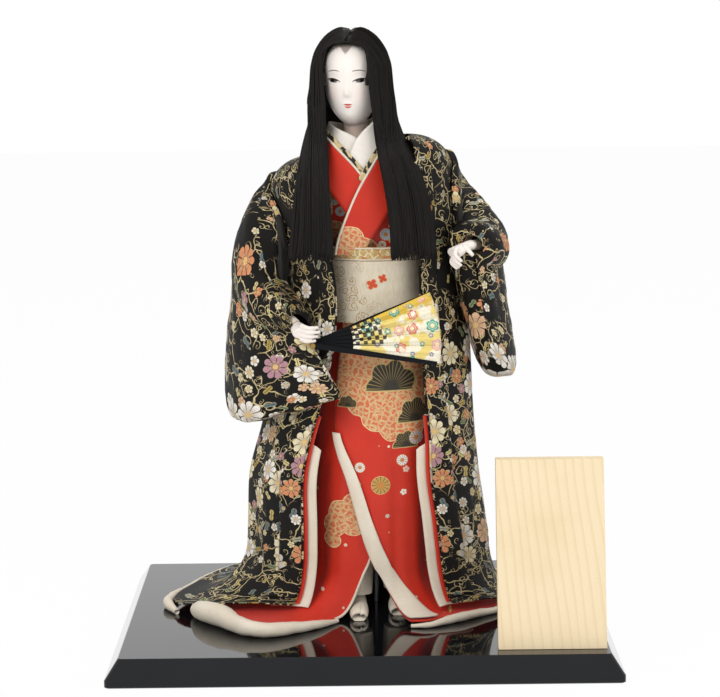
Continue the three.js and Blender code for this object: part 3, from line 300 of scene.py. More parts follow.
def merged(name, grids, voxel, rounds, material, body):
    """Closed tubes grown together into one painted skin."""
    faces, start = [], 0
    for grid in grids:
        rows, columns = grid.shape[:2]
        faces += (quads(rows, columns, True)[0] + start).tolist() + caps(start, rows, columns)
        start += rows * columns
    piece = link(name, new_mesh(name, np.concatenate([g.reshape(-1, 3) for g in grids]), faces), [material])
    remesh = piece.modifiers.new("skin", "REMESH")
    remesh.mode = "VOXEL"
    remesh.voxel_size = voxel * MM
    soften = piece.modifiers.new("soften", "SMOOTH")
    soften.factor = 0.5
    soften.iterations = rounds
    evaluated(piece)
    piece.data.shade_smooth()
    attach(piece, body)
    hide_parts(name)
    return piece


# Materials
def colour(text):
    parts = [int(text[i : i + 2], 16) / 255 for i in (0, 2, 4)]
    return tuple(c / 12.92 if c <= 0.04045 else ((c + 0.055) / 1.055) ** 2.4 for c in parts) + (1.0,)


class Value:
    """One output of a node, which takes part in arithmetic."""

    def __init__(self, graph, socket):
        self.graph, self.socket = graph, socket

    def operator(operation, swapped=False):
        def made(self, *other):
            return self.graph.math(operation, *((*other, self) if swapped else (self, *other)))

        return made

    __add__ = __radd__ = operator("ADD")
    __mul__ = __rmul__ = operator("MULTIPLY")
    __sub__, __rsub__ = operator("SUBTRACT"), operator("SUBTRACT", True)
    __truediv__, __pow__, __abs__ = operator("DIVIDE"), operator("POWER"), operator("ABSOLUTE")


class Graph:
    """Nodes of a material or world, written as arithmetic, with the layers of a pattern in base and height."""

    def __init__(self, owner, **constants):
        self.owner = bpy.data.materials.new(owner) if isinstance(owner, str) else owner
        self.owner.use_nodes = True
        self.tree = self.owner.node_tree
        self.shader = self.tree.nodes.get("Principled BSDF")
        self.base = self.height = None
        for key, value in constants.items():
            self.shader.inputs[key.replace("_", " ")].default_value = value

    def put(self, value, socket):
        if isinstance(value, Value):
            self.tree.links.new(value.socket, socket)
        else:
            socket.default_value = colour(value) if isinstance(value, str) else value

    def node(self, kind, inputs, output=0, **settings):
        made = self.tree.nodes.new("ShaderNode" + kind)
        for key, value in settings.items():
            setattr(made, key, value)
        for key, value in inputs.items():
            self.put(value, made.inputs[key])
        return made if output is None else Value(self, made.outputs[output])

    def math(self, operation, *values):
        return self.node("Math", dict(enumerate(values)), operation=operation)

    def vector(self, operation, *values, output=0):
        return self.node("VectorMath", dict(enumerate(values)), output, operation=operation)

    def most(self, first, *others):
        for value in others:
            first = self.math("MAXIMUM", first, value)
        return first

    def less(self, value, limit):
        return self.math("LESS_THAN", value, limit)

    def map(self, title):
        return self.node("UVMap", {}, uv_map=title)

    def place(self):
        return self.node("TexCoord", {}, "Object")

    def split(self, value):
        return [Value(self, s) for s in self.node("SeparateXYZ", {0: value}, None).outputs]

    def about(self, at, x, y):
        """Place across and up from a point of a map."""
        return self.split(self.vector("SUBTRACT", at, (x, y, 0)))[:2]

    def far_and_angle(self, x, y):
        return self.math("SQRT", x * x + y * y), self.math("ARCTAN2", y, x)

    def distance(self, at, x, y):
        return self.vector("DISTANCE", at, (x, y, 0), output=1)

    def smooth(self, value, low, high):
        inputs = {"Value": value, "From Min": low, "From Max": high}
        return self.node("MapRange", inputs, interpolation_type="SMOOTHSTEP")

    def fade(self, value, low, high):
        return 1.0 - self.smooth(value, low, high)

    def blend(self, share, first, second):
        return self.node("Mix", {0: share, 6: first, 7: second}, 2, data_type="RGBA")

    def over(self, base, *layers):
        """Base with layers of (share, colour) laid on it in turn."""
        for share, tone in layers:
            base = self.blend(share, base, tone)
        return base

    def lay(self, on, tone, high):
        """Adds a figure to the pattern: where it is, its colour, and its height."""
        self.base = self.blend(on, self.base, tone)
        self.height = self.most(self.height, high)

    def pick(self, value, colours):
        """One of some colours for each value from 0 to 1."""
        made = self.node("ValToRGB", {0: value}, None)
        ramp = made.color_ramp
        ramp.interpolation = "CONSTANT"
        while len(ramp.elements) < len(colours):
            ramp.elements.new(0.5)
        for k, text in enumerate(colours):
            ramp.elements[k].position = k / len(colours)
            ramp.elements[k].color = colour(text)
        return Value(self, made.outputs[0])

    def noise(self, at, size, detail=2.0, kind="2D", output=0):
        inputs = {"Vector": at, "Scale": 1 / size, "Detail": detail}
        return self.node("TexNoise", inputs, output, noise_dimensions=kind)

    def grain(self, at, size, detail=2.0, output=0):
        return self.noise(at, size, detail, "3D", output)

    def scaled(self, at, *factors):
        return self.vector("MULTIPLY", at, factors)

    def swayed(self, at, size, amount):
        """Coordinates pushed about by noise, so that lines look drawn by hand."""
        push = self.vector("SUBTRACT", self.noise(at, size, 1.0, output=1), (0.5, 0.5, 0.5))
        return self.vector("ADD", at, self.vector("MULTIPLY", push, (amount, amount, 0)))

    def scatter(self, at, size, loose, output, **settings):
        inputs = {"Vector": at, "Scale": 1 / size, "Randomness": loose}
        return self.node("TexVoronoi", inputs, output, voronoi_dimensions="2D", **settings)

    def borders(self, at, size):
        """Distance to the border between scattered cells."""
        return self.scatter(at, size, 1.0, 0, feature="DISTANCE_TO_EDGE") * size

    def cells(self, at, size, loose, seed):
        """Place in scattered cells: up, distance from the middle, angle, and three numbers for each cell."""
        moved = self.vector("ADD", at, (seed * 13.7, seed * 7.3, 0))
        near = self.scatter(moved, size, loose, None)
        x, y, _ = self.split(self.vector("SUBTRACT", moved, Value(self, near.outputs["Position"])))
        return y, *self.far_and_angle(x, y), self.split(Value(self, near.outputs["Color"]))

    def finish(self, base, rough, height, depth, metal=None):
        for value, name in ((base, "Base Color"), (rough, "Roughness"), (metal, "Metallic")):
            if value is not None:
                self.put(value, self.shader.inputs[name])
        bump = self.node("Bump", {"Height": height, "Distance": depth * MM, "Strength": 1.0})
        self.put(bump, self.shader.inputs["Normal"])
        return self.owner


ANY_TURN, ONE_TURN = 6.28, 6.2832


def flower(g, at, size, radius, petals, seed, share):
    """Scattered round flowers: how far inside, place from middle to edge, petal, and hue."""
    up, far, angle, (one, two, three) = g.cells(at, size, 0.75, seed)
    lobe = abs(g.math("COSINE", (angle + one * ANY_TURN) * (petals / 2)))
    grown = g.smooth((share(up) if callable(share) else share) - three, 0.0, 0.2)
    reach = (two * 0.45 + 0.7) * radius * (lobe**0.7 * 0.3 + 0.72) * grown + 0.01
    return reach - far - 0.02, far / reach, lobe, g.math("FRACT", (one + two) * 3.7)


def curls(g, at, size, loose, seed, pitch, stroke, rim, share=None):
    """Scattered spirals of a pitch; stroke and rim are where a line and the whole curl fade out."""
    _, far, angle, (one, two, _) = g.cells(at, size, loose, seed)
    turns = g.math("FRACT", angle / ONE_TURN + far / pitch + one)
    curl = g.fade(abs(turns - 0.5) * pitch, *stroke) * g.fade(far, *rim)
    return curl * g.less(two, share) if share else curl


def weave(g, at, size):
    """Over-and-under of threads, from 0 to 1."""
    x, y, _ = g.split(at)
    return g.math("SINE", x * (math.pi / size)) * g.math("SINE", y * (math.pi / size)) * 0.5 + 0.5


def slubs(g, at):
    return g.noise(g.scaled(at, 0.12, 1.0, 1.0), 0.8)


def circles(g, at, rings):
    """How far inside a row of circles (x, y, radius) a place is, as clouds are drawn."""
    return g.most(*(radius - g.distance(at, x, y) for x, y, radius in rings))


FLOWERS = ["f4efe4", "eddfae", "e7bd98", "f6f1e8", "f1e6c6", "b98c98", "f2ede2", "dd9468", "cfc9bc", "efe3bd"]
LEAVES = ["7d8a66", "c4b06c", "a9a892", "d8c88c", "66787a", "b09650"]
SHOULDER_BAND = (200.0, 300.0)  # heights between which the robe's pattern thins out


def brocade():
    """Black silk woven with gold scrolls, leaves and many-coloured flowers."""
    g = Graph("black_brocade", Specular_IOR_Level=0.25)
    at, height_up = g.map("cloth"), g.split(g.map("front"))[1]
    drawn, threads = g.swayed(at, 9.0, 5.0), weave(g, at, 0.45)
    gold = g.blend(g.noise(at, 3.0, 3.0), "a8884a", "efe2b6")
    # Gold vines and curls
    vine = g.fade(g.borders(drawn, 19.0), 0.22, 0.46)
    large = curls(g, drawn, 11.0, 0.9, 3.0, 3.1, (0.18, 0.4), (4.4, 4.8), 0.72)
    small = curls(g, drawn, 5.6, 0.9, 5.0, 1.9, (0.12, 0.3), (1.9, 2.2), 0.4)
    lines = g.most(vine, large, small) * g.smooth(g.noise(at, 34.0, 1.0), 0.36, 0.44)
    g.base = g.blend(lines, g.blend(g.noise(at, 14.0), "060504", "100d0a"), gold)
    g.height = lines * 0.5
    # Leaves
    _, far, angle, (one, two, three) = g.cells(at, 11.0, 0.85, 8.0)
    turn = angle + one * ANY_TURN
    reach = (two * 1.8 + 3.0) * (0.3 + 0.7 * abs(g.math("COSINE", turn)) ** 1.8)
    there = g.less(three, g.fade(height_up, *SHOULDER_BAND) * 0.32 + 0.18)
    leaf = (reach - far) * there + (there - 1.0)
    on = g.smooth(leaf, 0.0, 0.2)
    tone = g.blend(g.fade(abs(g.math("SINE", turn)) * far, 0.1, 0.35), g.pick(one, LEAVES), "3a3324")
    g.lay(on, g.blend(g.smooth(leaf, 0.15, 0.4), gold, tone), on * 0.7)
    # Flowers, small ones under large ones, thicker down the robe than on its shoulders
    for size, radius, petals, seed, few, many in ((11.0, 3.9, 5, 11.0, 0.2, 0.6), (24.0, 9.8, 8, 17.0, 0.2, 0.95)):
        def share(up):
            more = g.fade(height_up + up, *SHOULDER_BAND) * (many - few) + few
            return more * g.smooth(height_up + up, 15.0, 60.0)

        inside, place, lobe, hue = flower(g, at, size, radius, petals, seed, share)
        on = g.smooth(inside, 0.0, 0.25)
        petal = g.pick(hue, FLOWERS)
        vein = g.fade(lobe, 0.12, 0.34) * g.smooth(place, 0.24, 0.42)
        shaded = g.over(
            g.blend(g.smooth(place, 0.15, 0.9), g.blend(0.4, petal, "7d4a3c"), petal),
            (g.smooth(g.noise(at, 1.1), 0.5, 0.72) * 0.3, "8a6a52"),
            (vein * 0.85, "1c1610"),
            (g.fade(abs(place - 0.42), 0.02, 0.07) * 0.5, gold),
            (g.fade(place, 0.2, 0.28), g.blend(g.noise(at, 1.0), "c98c3c", "f0dca0")),
        )
        g.height = g.height * (1.0 - on)
        g.lay(on, g.blend(g.smooth(inside, 0.12, 0.34), gold, shaded), on * (1.0 - 0.5 * vein))
    base = g.blend(threads * 0.2, g.base, g.blend(0.5, g.base, "000000"))
    return g.finish(base, 0.62 - lines * 0.18, g.height + threads * 0.12, 0.35, lines * 0.3)


def silk(name, text, deep, sheen=0.25):
    """Plain silk with a fine weave, slubs and soft colour variation."""
    g = Graph(name, Sheen_Weight=sheen, Sheen_Roughness=0.4)
    at = g.map("cloth")
    slub = slubs(g, at)
    base = g.over(g.blend(g.noise(at, 22.0, 3.0), text, deep), (g.smooth(slub, 0.45, 0.75) * 0.35, deep))
    return g.finish(base, 0.55 + slub * 0.15, weave(g, at, 0.4) * 0.6 + slub * 0.5, 0.06)


def robe_lining():
    """Lining of the robe: red silk, with painted shade at the chest, where it is coloured dark brown to stand in for
    the shadow inside the robe.
    """
    g = Graph("robe_lining", Sheen_Weight=0.2, Sheen_Roughness=0.4)
    at = g.map("cloth")
    low = g.fade(g.split(g.map("front"))[1] + g.noise(at, 10.0) * 6.0, 176.0, 190.0)
    slub = slubs(g, at)
    # Painted shade: dark brown above about 190 mm up stands in for the shadow inside the robe; red below
    base = g.blend(low, g.blend(slub, "1c1512", "2a1f19"), g.blend(slub, "d8361f", "b52816"))
    return g.finish(base, 0.6, weave(g, at, 0.4) * 0.6 + slub * 0.5, 0.06)


def pine(g, at, x, y, wide, tall):
    """Umbrella of pine needles: how far inside, and its needle lines."""
    px, py = g.about(at, x, y)
    angle = g.math("ARCTAN2", py, px * (tall / wide))
    far = g.math("SQRT", (px / wide) ** 2.0 + (py / tall) ** 2.0)
    lobes = abs(g.math("SINE", angle * 3.5)) * 0.16 + 0.84
    inside = g.math("MINIMUM", lobes - far, (py / tall + 0.12) * 1.2)
    return inside, g.fade(abs(g.math("SINE", angle * 17.0)), 0.12, 0.4) * g.smooth(far, 0.2, 0.4)


def figured_red(name, clouds, pines, discs, share):
    """Red silk with scattered flowers, gold clouds of fretwork, pines and rayed discs."""
    g = Graph(name, Sheen_Weight=0.3, Sheen_Roughness=0.4)
    at, cloth = g.map("front"), g.map("cloth")
    threads = weave(g, cloth, 0.4)
    red = g.base = g.blend(g.noise(cloth, 18.0, 3.0), "d8331c", "c32a17")
    g.height = threads * 0.15
    gold = g.blend(g.noise(at, 2.2, 3.0), "c79a58", "f3deae")
    for size, radius, seed in ((17.0, 5.0, 4.0), (10.0, 2.8, 9.0)):
        inside, place, lobe, hue = flower(g, at, size, radius, 5, seed, share)
        on = g.smooth(inside, 0.0, 0.25)
        shaded = g.over(
            g.pick(hue, ["f5efe6", "efc7bd", "f6f0ea", "d9c07a", "c9d2d4", "f3d9cd"]),
            (g.fade(place, 0.16, 0.3), "c9963f"),
            (g.fade(lobe, 0.08, 0.25) * g.smooth(place, 0.3, 0.5), "b98a6a"),
        )
        g.lay(on, g.blend(g.smooth(inside, 0.2, 0.45), "caa65c", shaded), on * 0.8)
    drawn = g.swayed(at, 6.0, 4.0)
    curl = curls(g, drawn, 7.5, 0.85, 2.0, 2.4, (0.25, 0.5), (3.0, 3.4))
    lines = g.most(g.fade(g.borders(drawn, 4.6), 0.5, 0.95), curl)
    fret = g.blend(lines, "d8754a", g.blend(0.15, gold, red))
    edge = circles(g, g.swayed(at, 12.0, 3.0), clouds)
    on = g.smooth(edge, 0.0, 0.4)
    g.lay(on, g.blend(on * g.fade(edge, 0.6, 1.0), fret, "f2dca6"), on * (0.8 - lines * 0.4))
    for umbrella in pines:
        inside, needles = pine(g, at, *umbrella)
        on = g.smooth(inside, 0.0, 0.04)
        body = g.blend(needles * 0.75, g.blend(g.noise(at, 4.0), "1d1c17", "3a3a2c"), "c9a860")
        g.lay(on, g.blend(g.smooth(inside, 0.05, 0.1), "d8bd7c", body), on * (0.6 + needles * 0.4))
    for x, y, radius, tone in discs:
        edge = circles(g, at, [(x, y, radius)])
        on = g.smooth(edge, 0.0, 0.3)
        _, angle = g.far_and_angle(*g.about(at, x, y))
        body = g.blend(g.smooth(abs(g.math("SINE", angle * 6.0)), 0.1, 0.45), "6b4526", tone)
        body = g.blend(g.smooth(edge, radius * 0.62, radius * 0.68), body, "c9893f")
        g.lay(on, g.blend(g.smooth(edge, 0.3, 0.6), "e6cf95", body), on * 0.8)
    base = g.blend(threads * 0.18, g.base, g.blend(0.5, g.base, "3a0d06"))
    return g.finish(base, 0.55, g.height, 0.22)


def sash_silk():
    """Cream and silver figured silk with gold curls and a pair of small winged figures."""
    g = Graph("sash_silk", Sheen_Weight=0.25, Sheen_Roughness=0.35)
    at, cloth = g.map("front"), g.map("cloth")
    x, y, _ = g.split(at)
    lace = curls(g, g.swayed(at, 7.0, 5.0), 8.0, 0.9, 4.0, 2.0, (0.12, 0.4), (3.4, 4.2))
    lace = lace * (g.fade(x + y * 0.3 + g.noise(at, 12.0) * 16.0, 80.0, 104.0) * 0.9)
    ground = g.blend(g.noise(g.scaled(cloth, 1.0, 0.25, 1.0), 1.6, 3.0), "d3c4a6", "e8decb")
    g.base = g.blend(lace, ground, "ab8238")
    g.height = weave(g, cloth, 0.45) * 0.3 + lace
    for wing_x, wing_y, size in ((9.0, 266.0, 5.2), (17.0, 270.5, 4.2)):
        far, angle = g.far_and_angle(*g.about(at, wing_x, wing_y))
        wing = (0.42 + 0.58 * abs(g.math("COSINE", angle * 2.0 + 0.9)) ** 0.6) * size * 0.9
        on = g.smooth(wing - far, 0.0, 0.3)
        g.lay(on, g.blend(g.smooth(wing - far, 0.5, 0.9), "d98a55", "cf4a26"), on)
    return g.finish(g.base, 0.5, g.height, 0.2)


def gold_brocade():
    g = Graph("gold_brocade", Sheen_Weight=0.2)
    at = g.map("cloth")
    threads = weave(g, at, 0.5)
    lace = g.fade(g.borders(g.swayed(at, 6.0, 4.0), 5.0), 0.3, 0.6)
    gold = g.blend(g.noise(at, 3.0, 3.0), "a5813f", "e2c88c")
    base = g.blend(lace, gold, g.pick(g.noise(at, 9.0), ["e9d9b4", "c9743f", "e9d9b4", "8c6a30"]))
    return g.finish(base, 0.42 + threads * 0.15, threads * 0.4 + lace * 0.6, 0.2, 0.25 * (1.0 - lace))


def second_collar():
    """Thin collar of black and gold between the white one and the red one."""
    g = Graph("second_collar", Sheen_Weight=0.2)
    at = g.map("cloth")
    gold = g.blend(g.noise(at, 2.0), "b08f48", "efe0b4")
    base = g.blend(g.smooth(g.noise(at, 5.0, 1.0), 0.5, 0.56), gold, "1a1612")
    return g.finish(base, 0.5, weave(g, at, 0.5), 0.12)


def lacquer(name, rough, coat):
    """Black gloss lacquer with a faint wave and hair-fine polish marks."""
    g = Graph(name, Coat_Weight=coat, Coat_Roughness=0.03, IOR=1.25, Coat_IOR=1.25)
    at = g.place()
    cloud = g.grain(at, 0.05, 3.0)
    polish = g.grain(g.scaled(at, 1.0, 14.0, 1.0), 0.012, 3.0)
    rough = rough + polish * 0.04 + cloud * 0.02
    return g.finish(g.blend(cloud, "08090b", "101216"), rough, g.grain(at, 0.09, 1.0), 0.02)


def wood(name, light, dark):
    """Planed softwood with its grain upright: growth lines, pores and a little dirt."""
    g = Graph(name, Specular_IOR_Level=0.3)
    at = g.place()
    run = g.scaled(at, 1.0, 1.0, 0.06)
    x, y, _ = g.split(g.vector("ADD", run, g.scaled(g.grain(run, 0.05, output=1), 0.012, 0.012, 0.012)))
    rings = g.math("FRACT", (x * 0.9 + y * 0.4) * 160.0)
    line = g.smooth(rings, 0.5, 1.0) * g.fade(rings, 0.97, 1.0)
    pores = g.grain(g.scaled(at, 1.0, 1.0, 0.02), 0.0005)
    dirt = g.smooth(g.grain(at, 0.04, 3.0), 0.45, 0.8)
    base = g.over(light, (line * 0.24, dark), (g.smooth(pores, 0.55, 0.8) * 0.3, dark), (dirt * 0.18, dark))
    return g.finish(base, 0.62 - line * 0.08, pores * 0.6 + line * 0.5, 0.05)


def metal(name, text, rough):
    g = Graph(name, Metallic=1.0)
    drawn = g.grain(g.scaled(g.place(), 1.0, 1.0, 0.03), 0.0006)
    return g.finish(g.blend(drawn * 0.5, text, "55524c"), drawn * 0.2 + rough, drawn, 0.02)


def straw():
    g = Graph("body_core")
    stalks = g.grain(g.scaled(g.place(), 1.0, 1.0, 0.08), 0.0018, 3.0)
    return g.finish(g.blend(g.smooth(stalks, 0.35, 0.65), "8a6d3c", "cdb277"), 0.85, stalks, 0.6)


def hair_silk():
    """Straight black silk threads, a little brown, with a soft gloss."""
    g = Graph("hair", Specular_IOR_Level=0.28)
    at = g.map("cloth")
    fine = g.noise(g.scaled(at, 1.0, 0.012, 1.0), 0.35)
    broad = g.noise(g.scaled(at, 1.0, 0.02, 1.0), 3.0)
    return g.finish(g.blend(fine, "050404", "1d1813"), fine * 0.25 + 0.4, fine * 0.6 + broad, 0.35)


def paper():
    """Fan leaf: cream and gold paper with painted flowers and a chequered border near the sticks."""
    g = Graph("fan_paper")
    at = g.map("front")
    far, angle = g.far_and_angle(*g.about(at, FAN_PLACE[0], FAN_PLACE[2]))
    cloud = g.noise(at, 15.0)
    g.base = g.over(
        g.blend(g.smooth(cloud, 0.46, 0.54), "f3ecd6", "e8d27c"),
        (g.smooth(angle + cloud * 0.16, 0.38, 0.44), "dfba45"),
        (g.smooth(g.noise(at, 1.2, 3.0), 0.5, 0.7) * 0.3, "c9a545"),
    )
    g.height = g.noise(at, 0.7) * 0.2
    for size, radius, petals, seed, share, tones in (
        (13.0, 5.4, 6, 2.0, 0.7, ["2f9a8c", "f6f2e8", "e3a79c", "4aa58a", "f4efe2", "d9705a"]),
        (7.0, 2.5, 5, 6.0, 0.5, ["f6f2e8", "d7642f", "2f8a7b", "e9ddb0", "4a5a9a", "f3d9cd"]),
    ):
        inside, place, _, hue = flower(g, at, size, radius, petals, seed, share)
        on = g.smooth(inside, 0.0, 0.3) * g.fade(angle, 0.36, 0.42)
        ring = g.fade(abs(place - 0.62), 0.03, 0.09) * 0.7
        g.lay(on, g.over(g.pick(hue, tones), (g.fade(place, 0.3, 0.45), "f3e6b8"), (ring, "f7f3e6")), on * 0.3)
    one, two = (g.less(g.math("FRACT", part), 0.5) for part in (far / 6.0, angle * 7.0))
    chequer = abs(one - two) * g.fade(far + g.noise(at, 8.0) * 14.0, 60.0, 62.0)
    base = g.blend(chequer * g.smooth(angle, -0.02, 0.02) * 0.92, g.base, "191510")
    return g.finish(base, 0.5, g.height, 0.08)


def painted_face():
    """White shell paint, warm in the cheeks, with painted shade under the chin and on the neck, and a grey brushed
    hairline that has a peak in the middle.
    """
    g = Graph("white_paint", Subsurface_Weight=0.04, Subsurface_Scale=0.002, Coat_Weight=0.08, Coat_Roughness=0.35)
    at = g.map("face")
    x, y, _ = g.split(at)
    peak = 25.6 - 5.6 * g.fade(abs(x), 0.0, 5.6) - g.smooth(abs(x), 10.0, 19.0) * 7.0
    brushed = g.smooth(y - peak + g.noise(g.scaled(at, 4.0, 0.6, 1.0), 1.5) * 1.4, 0.0, 2.6)
    base = g.over(
        g.blend(g.noise(at, 9.0), "f6efe8", "f1e7de"),
        *((g.fade(g.distance(at, cheek, -10.0), 0.0, 9.0) * 0.16, "e9a590") for cheek in (-11.0, 11.0)),
        # Painted shade: a warm darker tone under the chin and down the neck, where shadow falls
        (g.fade(y, -40.0, -31.0) * 0.6, "d9b39c"),
        (brushed * 0.85, "8d7d71"),
    )
    return g.finish(base, 0.42, g.noise(at, 1.2, 3.0), 0.015)


def plain(name, text, second, rough, size, **constants):
    """Painted surface with a small mottle."""
    g = Graph(name, **constants)
    mottle = g.grain(g.place(), size * MM, 3.0)
    return g.finish(g.blend(mottle, text, second), mottle * 0.1 + rough, mottle, 0.02)


BROCADE = brocade()
RED_LINING = silk("red_silk", "d8361f", "bd2a18")
SLEEVE_LINING = silk("sleeve_lining", "17110e", "0c0907", 0.15)
ROBE_LINING = robe_lining()
WHITE_SILK = silk("white_silk", "efe6d6", "d9cbb4")
WHITE_LINING = silk("white_lining", "e9dfcd", "d2c4ac")
BRIGHT_WHITE = silk("bright_white", "f6f1ea", "e6ddd0")
WRAP = silk("wrapped_cotton", "e6ddcf", "cfc3b0")
SASH, GOLD, SECOND, HAIR, PAPER, FACE = (
    made() for made in (sash_silk, gold_brocade, second_collar, hair_silk, paper, painted_face)
)
SKIN = plain("white_paint_hands", "f5eee7", "eee2d8", 0.42, 4.0, Coat_Weight=0.08)
OVER_SILK = figured_red(
    "over_silk",
    [
        (-16, 226, 18), (-14, 204, 17), (-10, 186, 15), (2, 176, 15), (12, 164, 14), (24, 156, 13), (36, 150, 12),
        (2, 222, 18), (14, 240, 16), (30, 236, 16), (46, 226, 15), (20, 190, 16), (44, 204, 14), (46, 180, 13),
        (24, 214, 18), (6, 196, 16), (30, 172, 14), (44, 160, 11),
    ],
    [(23, 184, 21, 24), (41, 158, 14, 19), (34, 138, 11, 13), (-11, 170, 8, 9)],
    [(14, 108, 7.5, "c39b52"), (42, 144, 5.5, "cfc6c0"), (-2, 122, 4.2, "efe8e2"), (31, 127, 4.6, "efe8e2")],
    0.26,
)
UNDER_SILK = figured_red(
    "under_silk", [(-8, 92, 9), (-16, 84, 11), (-22, 74, 9), (-8, 76, 10), (-24, 62, 7)], [], [], 0.1
)
BODICE_CLOUDS = [(-8, 299, 13), (2, 291, 13), (-20, 304, 11), (-14, 290, 12)]
BODICE_DISCS = [
    (-20, 333, 6.5, "d9d2c4"), (-25, 322, 4.5, "d9b274"), (-15, 322, 4, "c5cfda"), (20, 304, 4.8, "c5cfda"),
    (26, 311, 4, "e9e4dc"), (17, 296, 3.4, "e9e4dc"),
]
BODICE_SILK = figured_red("bodice_silk", BODICE_CLOUDS, [], BODICE_DISCS, 0.2)
COLLAR_SILK = figured_red("collar_silk", BODICE_CLOUDS, [], [], 0.0)


# Body axis and layers
SPINE = through((0, 4), (145, 10), (262, 12), (310, 8), (352, 0), (380, HEAD_PLACE[0] + 2))
TORSO_WIDTH = through(
    (HIP_HEIGHT, 33), (235, 33), (265, 31), (300, 34), (325, 40), (340, 36), (352, 24), (TORSO_TOP, 13)
)
TORSO_DEPTH = through(
    (HIP_HEIGHT, 25), (235, 26), (265, 26), (300, 28), (325, 27), (340, 23), (352, 18), (TORSO_TOP, 13)
)


def polar(height, angle, radius):
    return Vector((SPINE(height) + radius * math.sin(angle), BODY_Y - radius * math.cos(angle), height))


def rounded(height, angle, half_width, half_depth):
    return polar(height, angle, 1 / math.hypot(math.sin(angle) / half_width, math.cos(angle) / half_depth))


def layer(height, angle, offset):
    return rounded(height, angle, TORSO_WIDTH(height) + offset, TORSO_DEPTH(height) + offset)


ARM_TOP = 326


def shoulder(side):
    return SPINE(ARM_TOP) + side * (TORSO_WIDTH(ARM_TOP) - 2), BODY_Y, ARM_TOP


ARMS = {
    "right": curve(shoulder(-1), (-66, 9, 316), (-80, 6, 280), (-71, -20, 254), (-50, -47, 238)),
    "left": curve(shoulder(1), (74, 10, 322), (89, 8, 300), (92, -14, 295), (85, -36, 297)),
}
ARM_GUIDE = {"right": Vector((1, 1, 0)), "left": Vector((0, 0, 1))}

# Kimono bodice, under-sleeves and collars
SASH_BOTTOM, SASH_TOP, SASH_BAND = 234, 284, 11
BODICE_OFFSET, BODICE_TOP = GAP + CLOTH, 353
bodice = sample(
    lambda u, v: layer(mix(SASH_BOTTOM + 2, BODICE_TOP, v), TURN * (u + 0.5), BODICE_OFFSET), 96, 60, True
)
sheet_piece("bodice", bodice, [BODICE_SILK, WHITE_LINING], "red_silk", wrap=True,
            replaces=("kimono_bodice",))

CUFF_RADIUS, CUFF_ENDS = 9.5, (0.1, 0.9)
UNDER_SLEEVE = through(
    (0.1, 0.9 * CUFF_RADIUS), (0.3, 0.66 * CUFF_RADIUS), (0.64, 0.66 * CUFF_RADIUS), (0.9, CUFF_RADIUS)
)
for side in SIDES:
    arm = ARMS[side]

    def cuff(u, v):
        t, a = mix(*CUFF_ENDS, v), TURN * u
        along = tangent(arm, t)
        across = along.cross(ARM_GUIDE[side]).normalized()
        r = UNDER_SLEEVE(t) + 0.25 * math.sin(5 * a + 9 * v)
        return arm(t) + across * (r * math.cos(a)) + across.cross(along) * (r * math.sin(a))

    sheet_piece("under_sleeve_" + side, sample(cuff, 40, 48, True), [RED_LINING, WHITE_LINING], "red_silk",
                wrap=True, replaces=("kimono_sleeve_" + side,),
                axis=nearest_on(np.array([arm(t) for t in np.linspace(*CUFF_ENDS, 40)])))

UNDER_EDGE = curve(
    (10, -19, 356), (1, -16, 376), (-17, -8, 386), (-23, 8, 390), (-4, 25, 387), (15, 8, 394), (11, -11, 391),
    (-2, -19, 378), (-12, -23, 352),
)
UNDER_FOOT = curve(
    (-4, -22, 346), (-12, -20, 362), (-24, -12, 370), (-28, 8, 371), (-4, 30, 366), (20, 8, 371), (18, -14, 368),
    (9, -22, 358), (2, -24.5, 346),
)
RED_EDGE = curve(
    (16, -28, 320), (3, -26, 348), (-20, -19.5, 374), (-30, 8, 383), (-4, 34, 372), (23, 8, 381), (17, -20.5, 369),
    (-1, -29.5, 339), (-12.5, -31.2, 313), (-17, -29.6, 300), (-19, -24.5, 289),
)
RED_FOOT = curve(
    (-2, -29, 306), (-14, -27, 326), (-29, -20, 345), (-37, 8, 357), (-4, 40, 352), (30, 8, 358), (30, -19, 340),
    (22, -28, 322), (11, -30.8, 305), (7, -29.6, 299), (3.5, -24.5, 289),
)


PIPING_OUT, PIPING_RISE, SECOND_UNDER, NECK_RUN = 0.2, 0.4, 1.2, (0.09, 0.68)


def strip(edge, foot, along=160, across=10):
    return sample(lambda u, v: edge(v).lerp(foot(v), u), across, along)


def from_neck(p):
    return Vector((p.x + 3, p.y - BODY_Y, 0)).normalized()


def piping_path(t):
    p = RED_EDGE(t)
    return p + from_neck(p) * PIPING_OUT + Vector((0, 0, PIPING_RISE))


def beside_edge(reach):
    """Runs round the neck along the red collar's edge, further up the neck and just under the collar."""
    def at(t):
        t = mix(*NECK_RUN, t)
        p, foot = RED_EDGE(t), RED_FOOT(t)
        return p + (p - foot).normalized() * reach - from_neck(p) * SECOND_UNDER

    return at


def roll(name, path, radius, steps, sides, replaces=(), crease=0.0, seed=0.0):
    """Padded roll of white silk along a path, with a little unevenness."""
    grid = tube_grid(path, radius, steps, sides)
    if crease:
        grid = wrinkled(grid, crease, 9.0, seed)
    middle = np.array([path(k / steps) for k in range(steps + 1)])
    closed_piece(name, grid, nearest_on(middle), WHITE_SILK, replaces=replaces)


sheet_piece("under_collar", strip(UNDER_EDGE, UNDER_FOOT), [BRIGHT_WHITE], "white_silk", 1.0)
sheet_piece("kimono_collar", strip(RED_EDGE, RED_FOOT), [COLLAR_SILK, WHITE_LINING], "red_silk")
roll("collar_piping", piping_path, lambda t: 1.0, 150, 8)
sheet_piece("second_collar", strip(beside_edge(4.6), beside_edge(-6), 140, 8), [SECOND], "gold_brocade",
            0.6, replaces=("under_collar",))

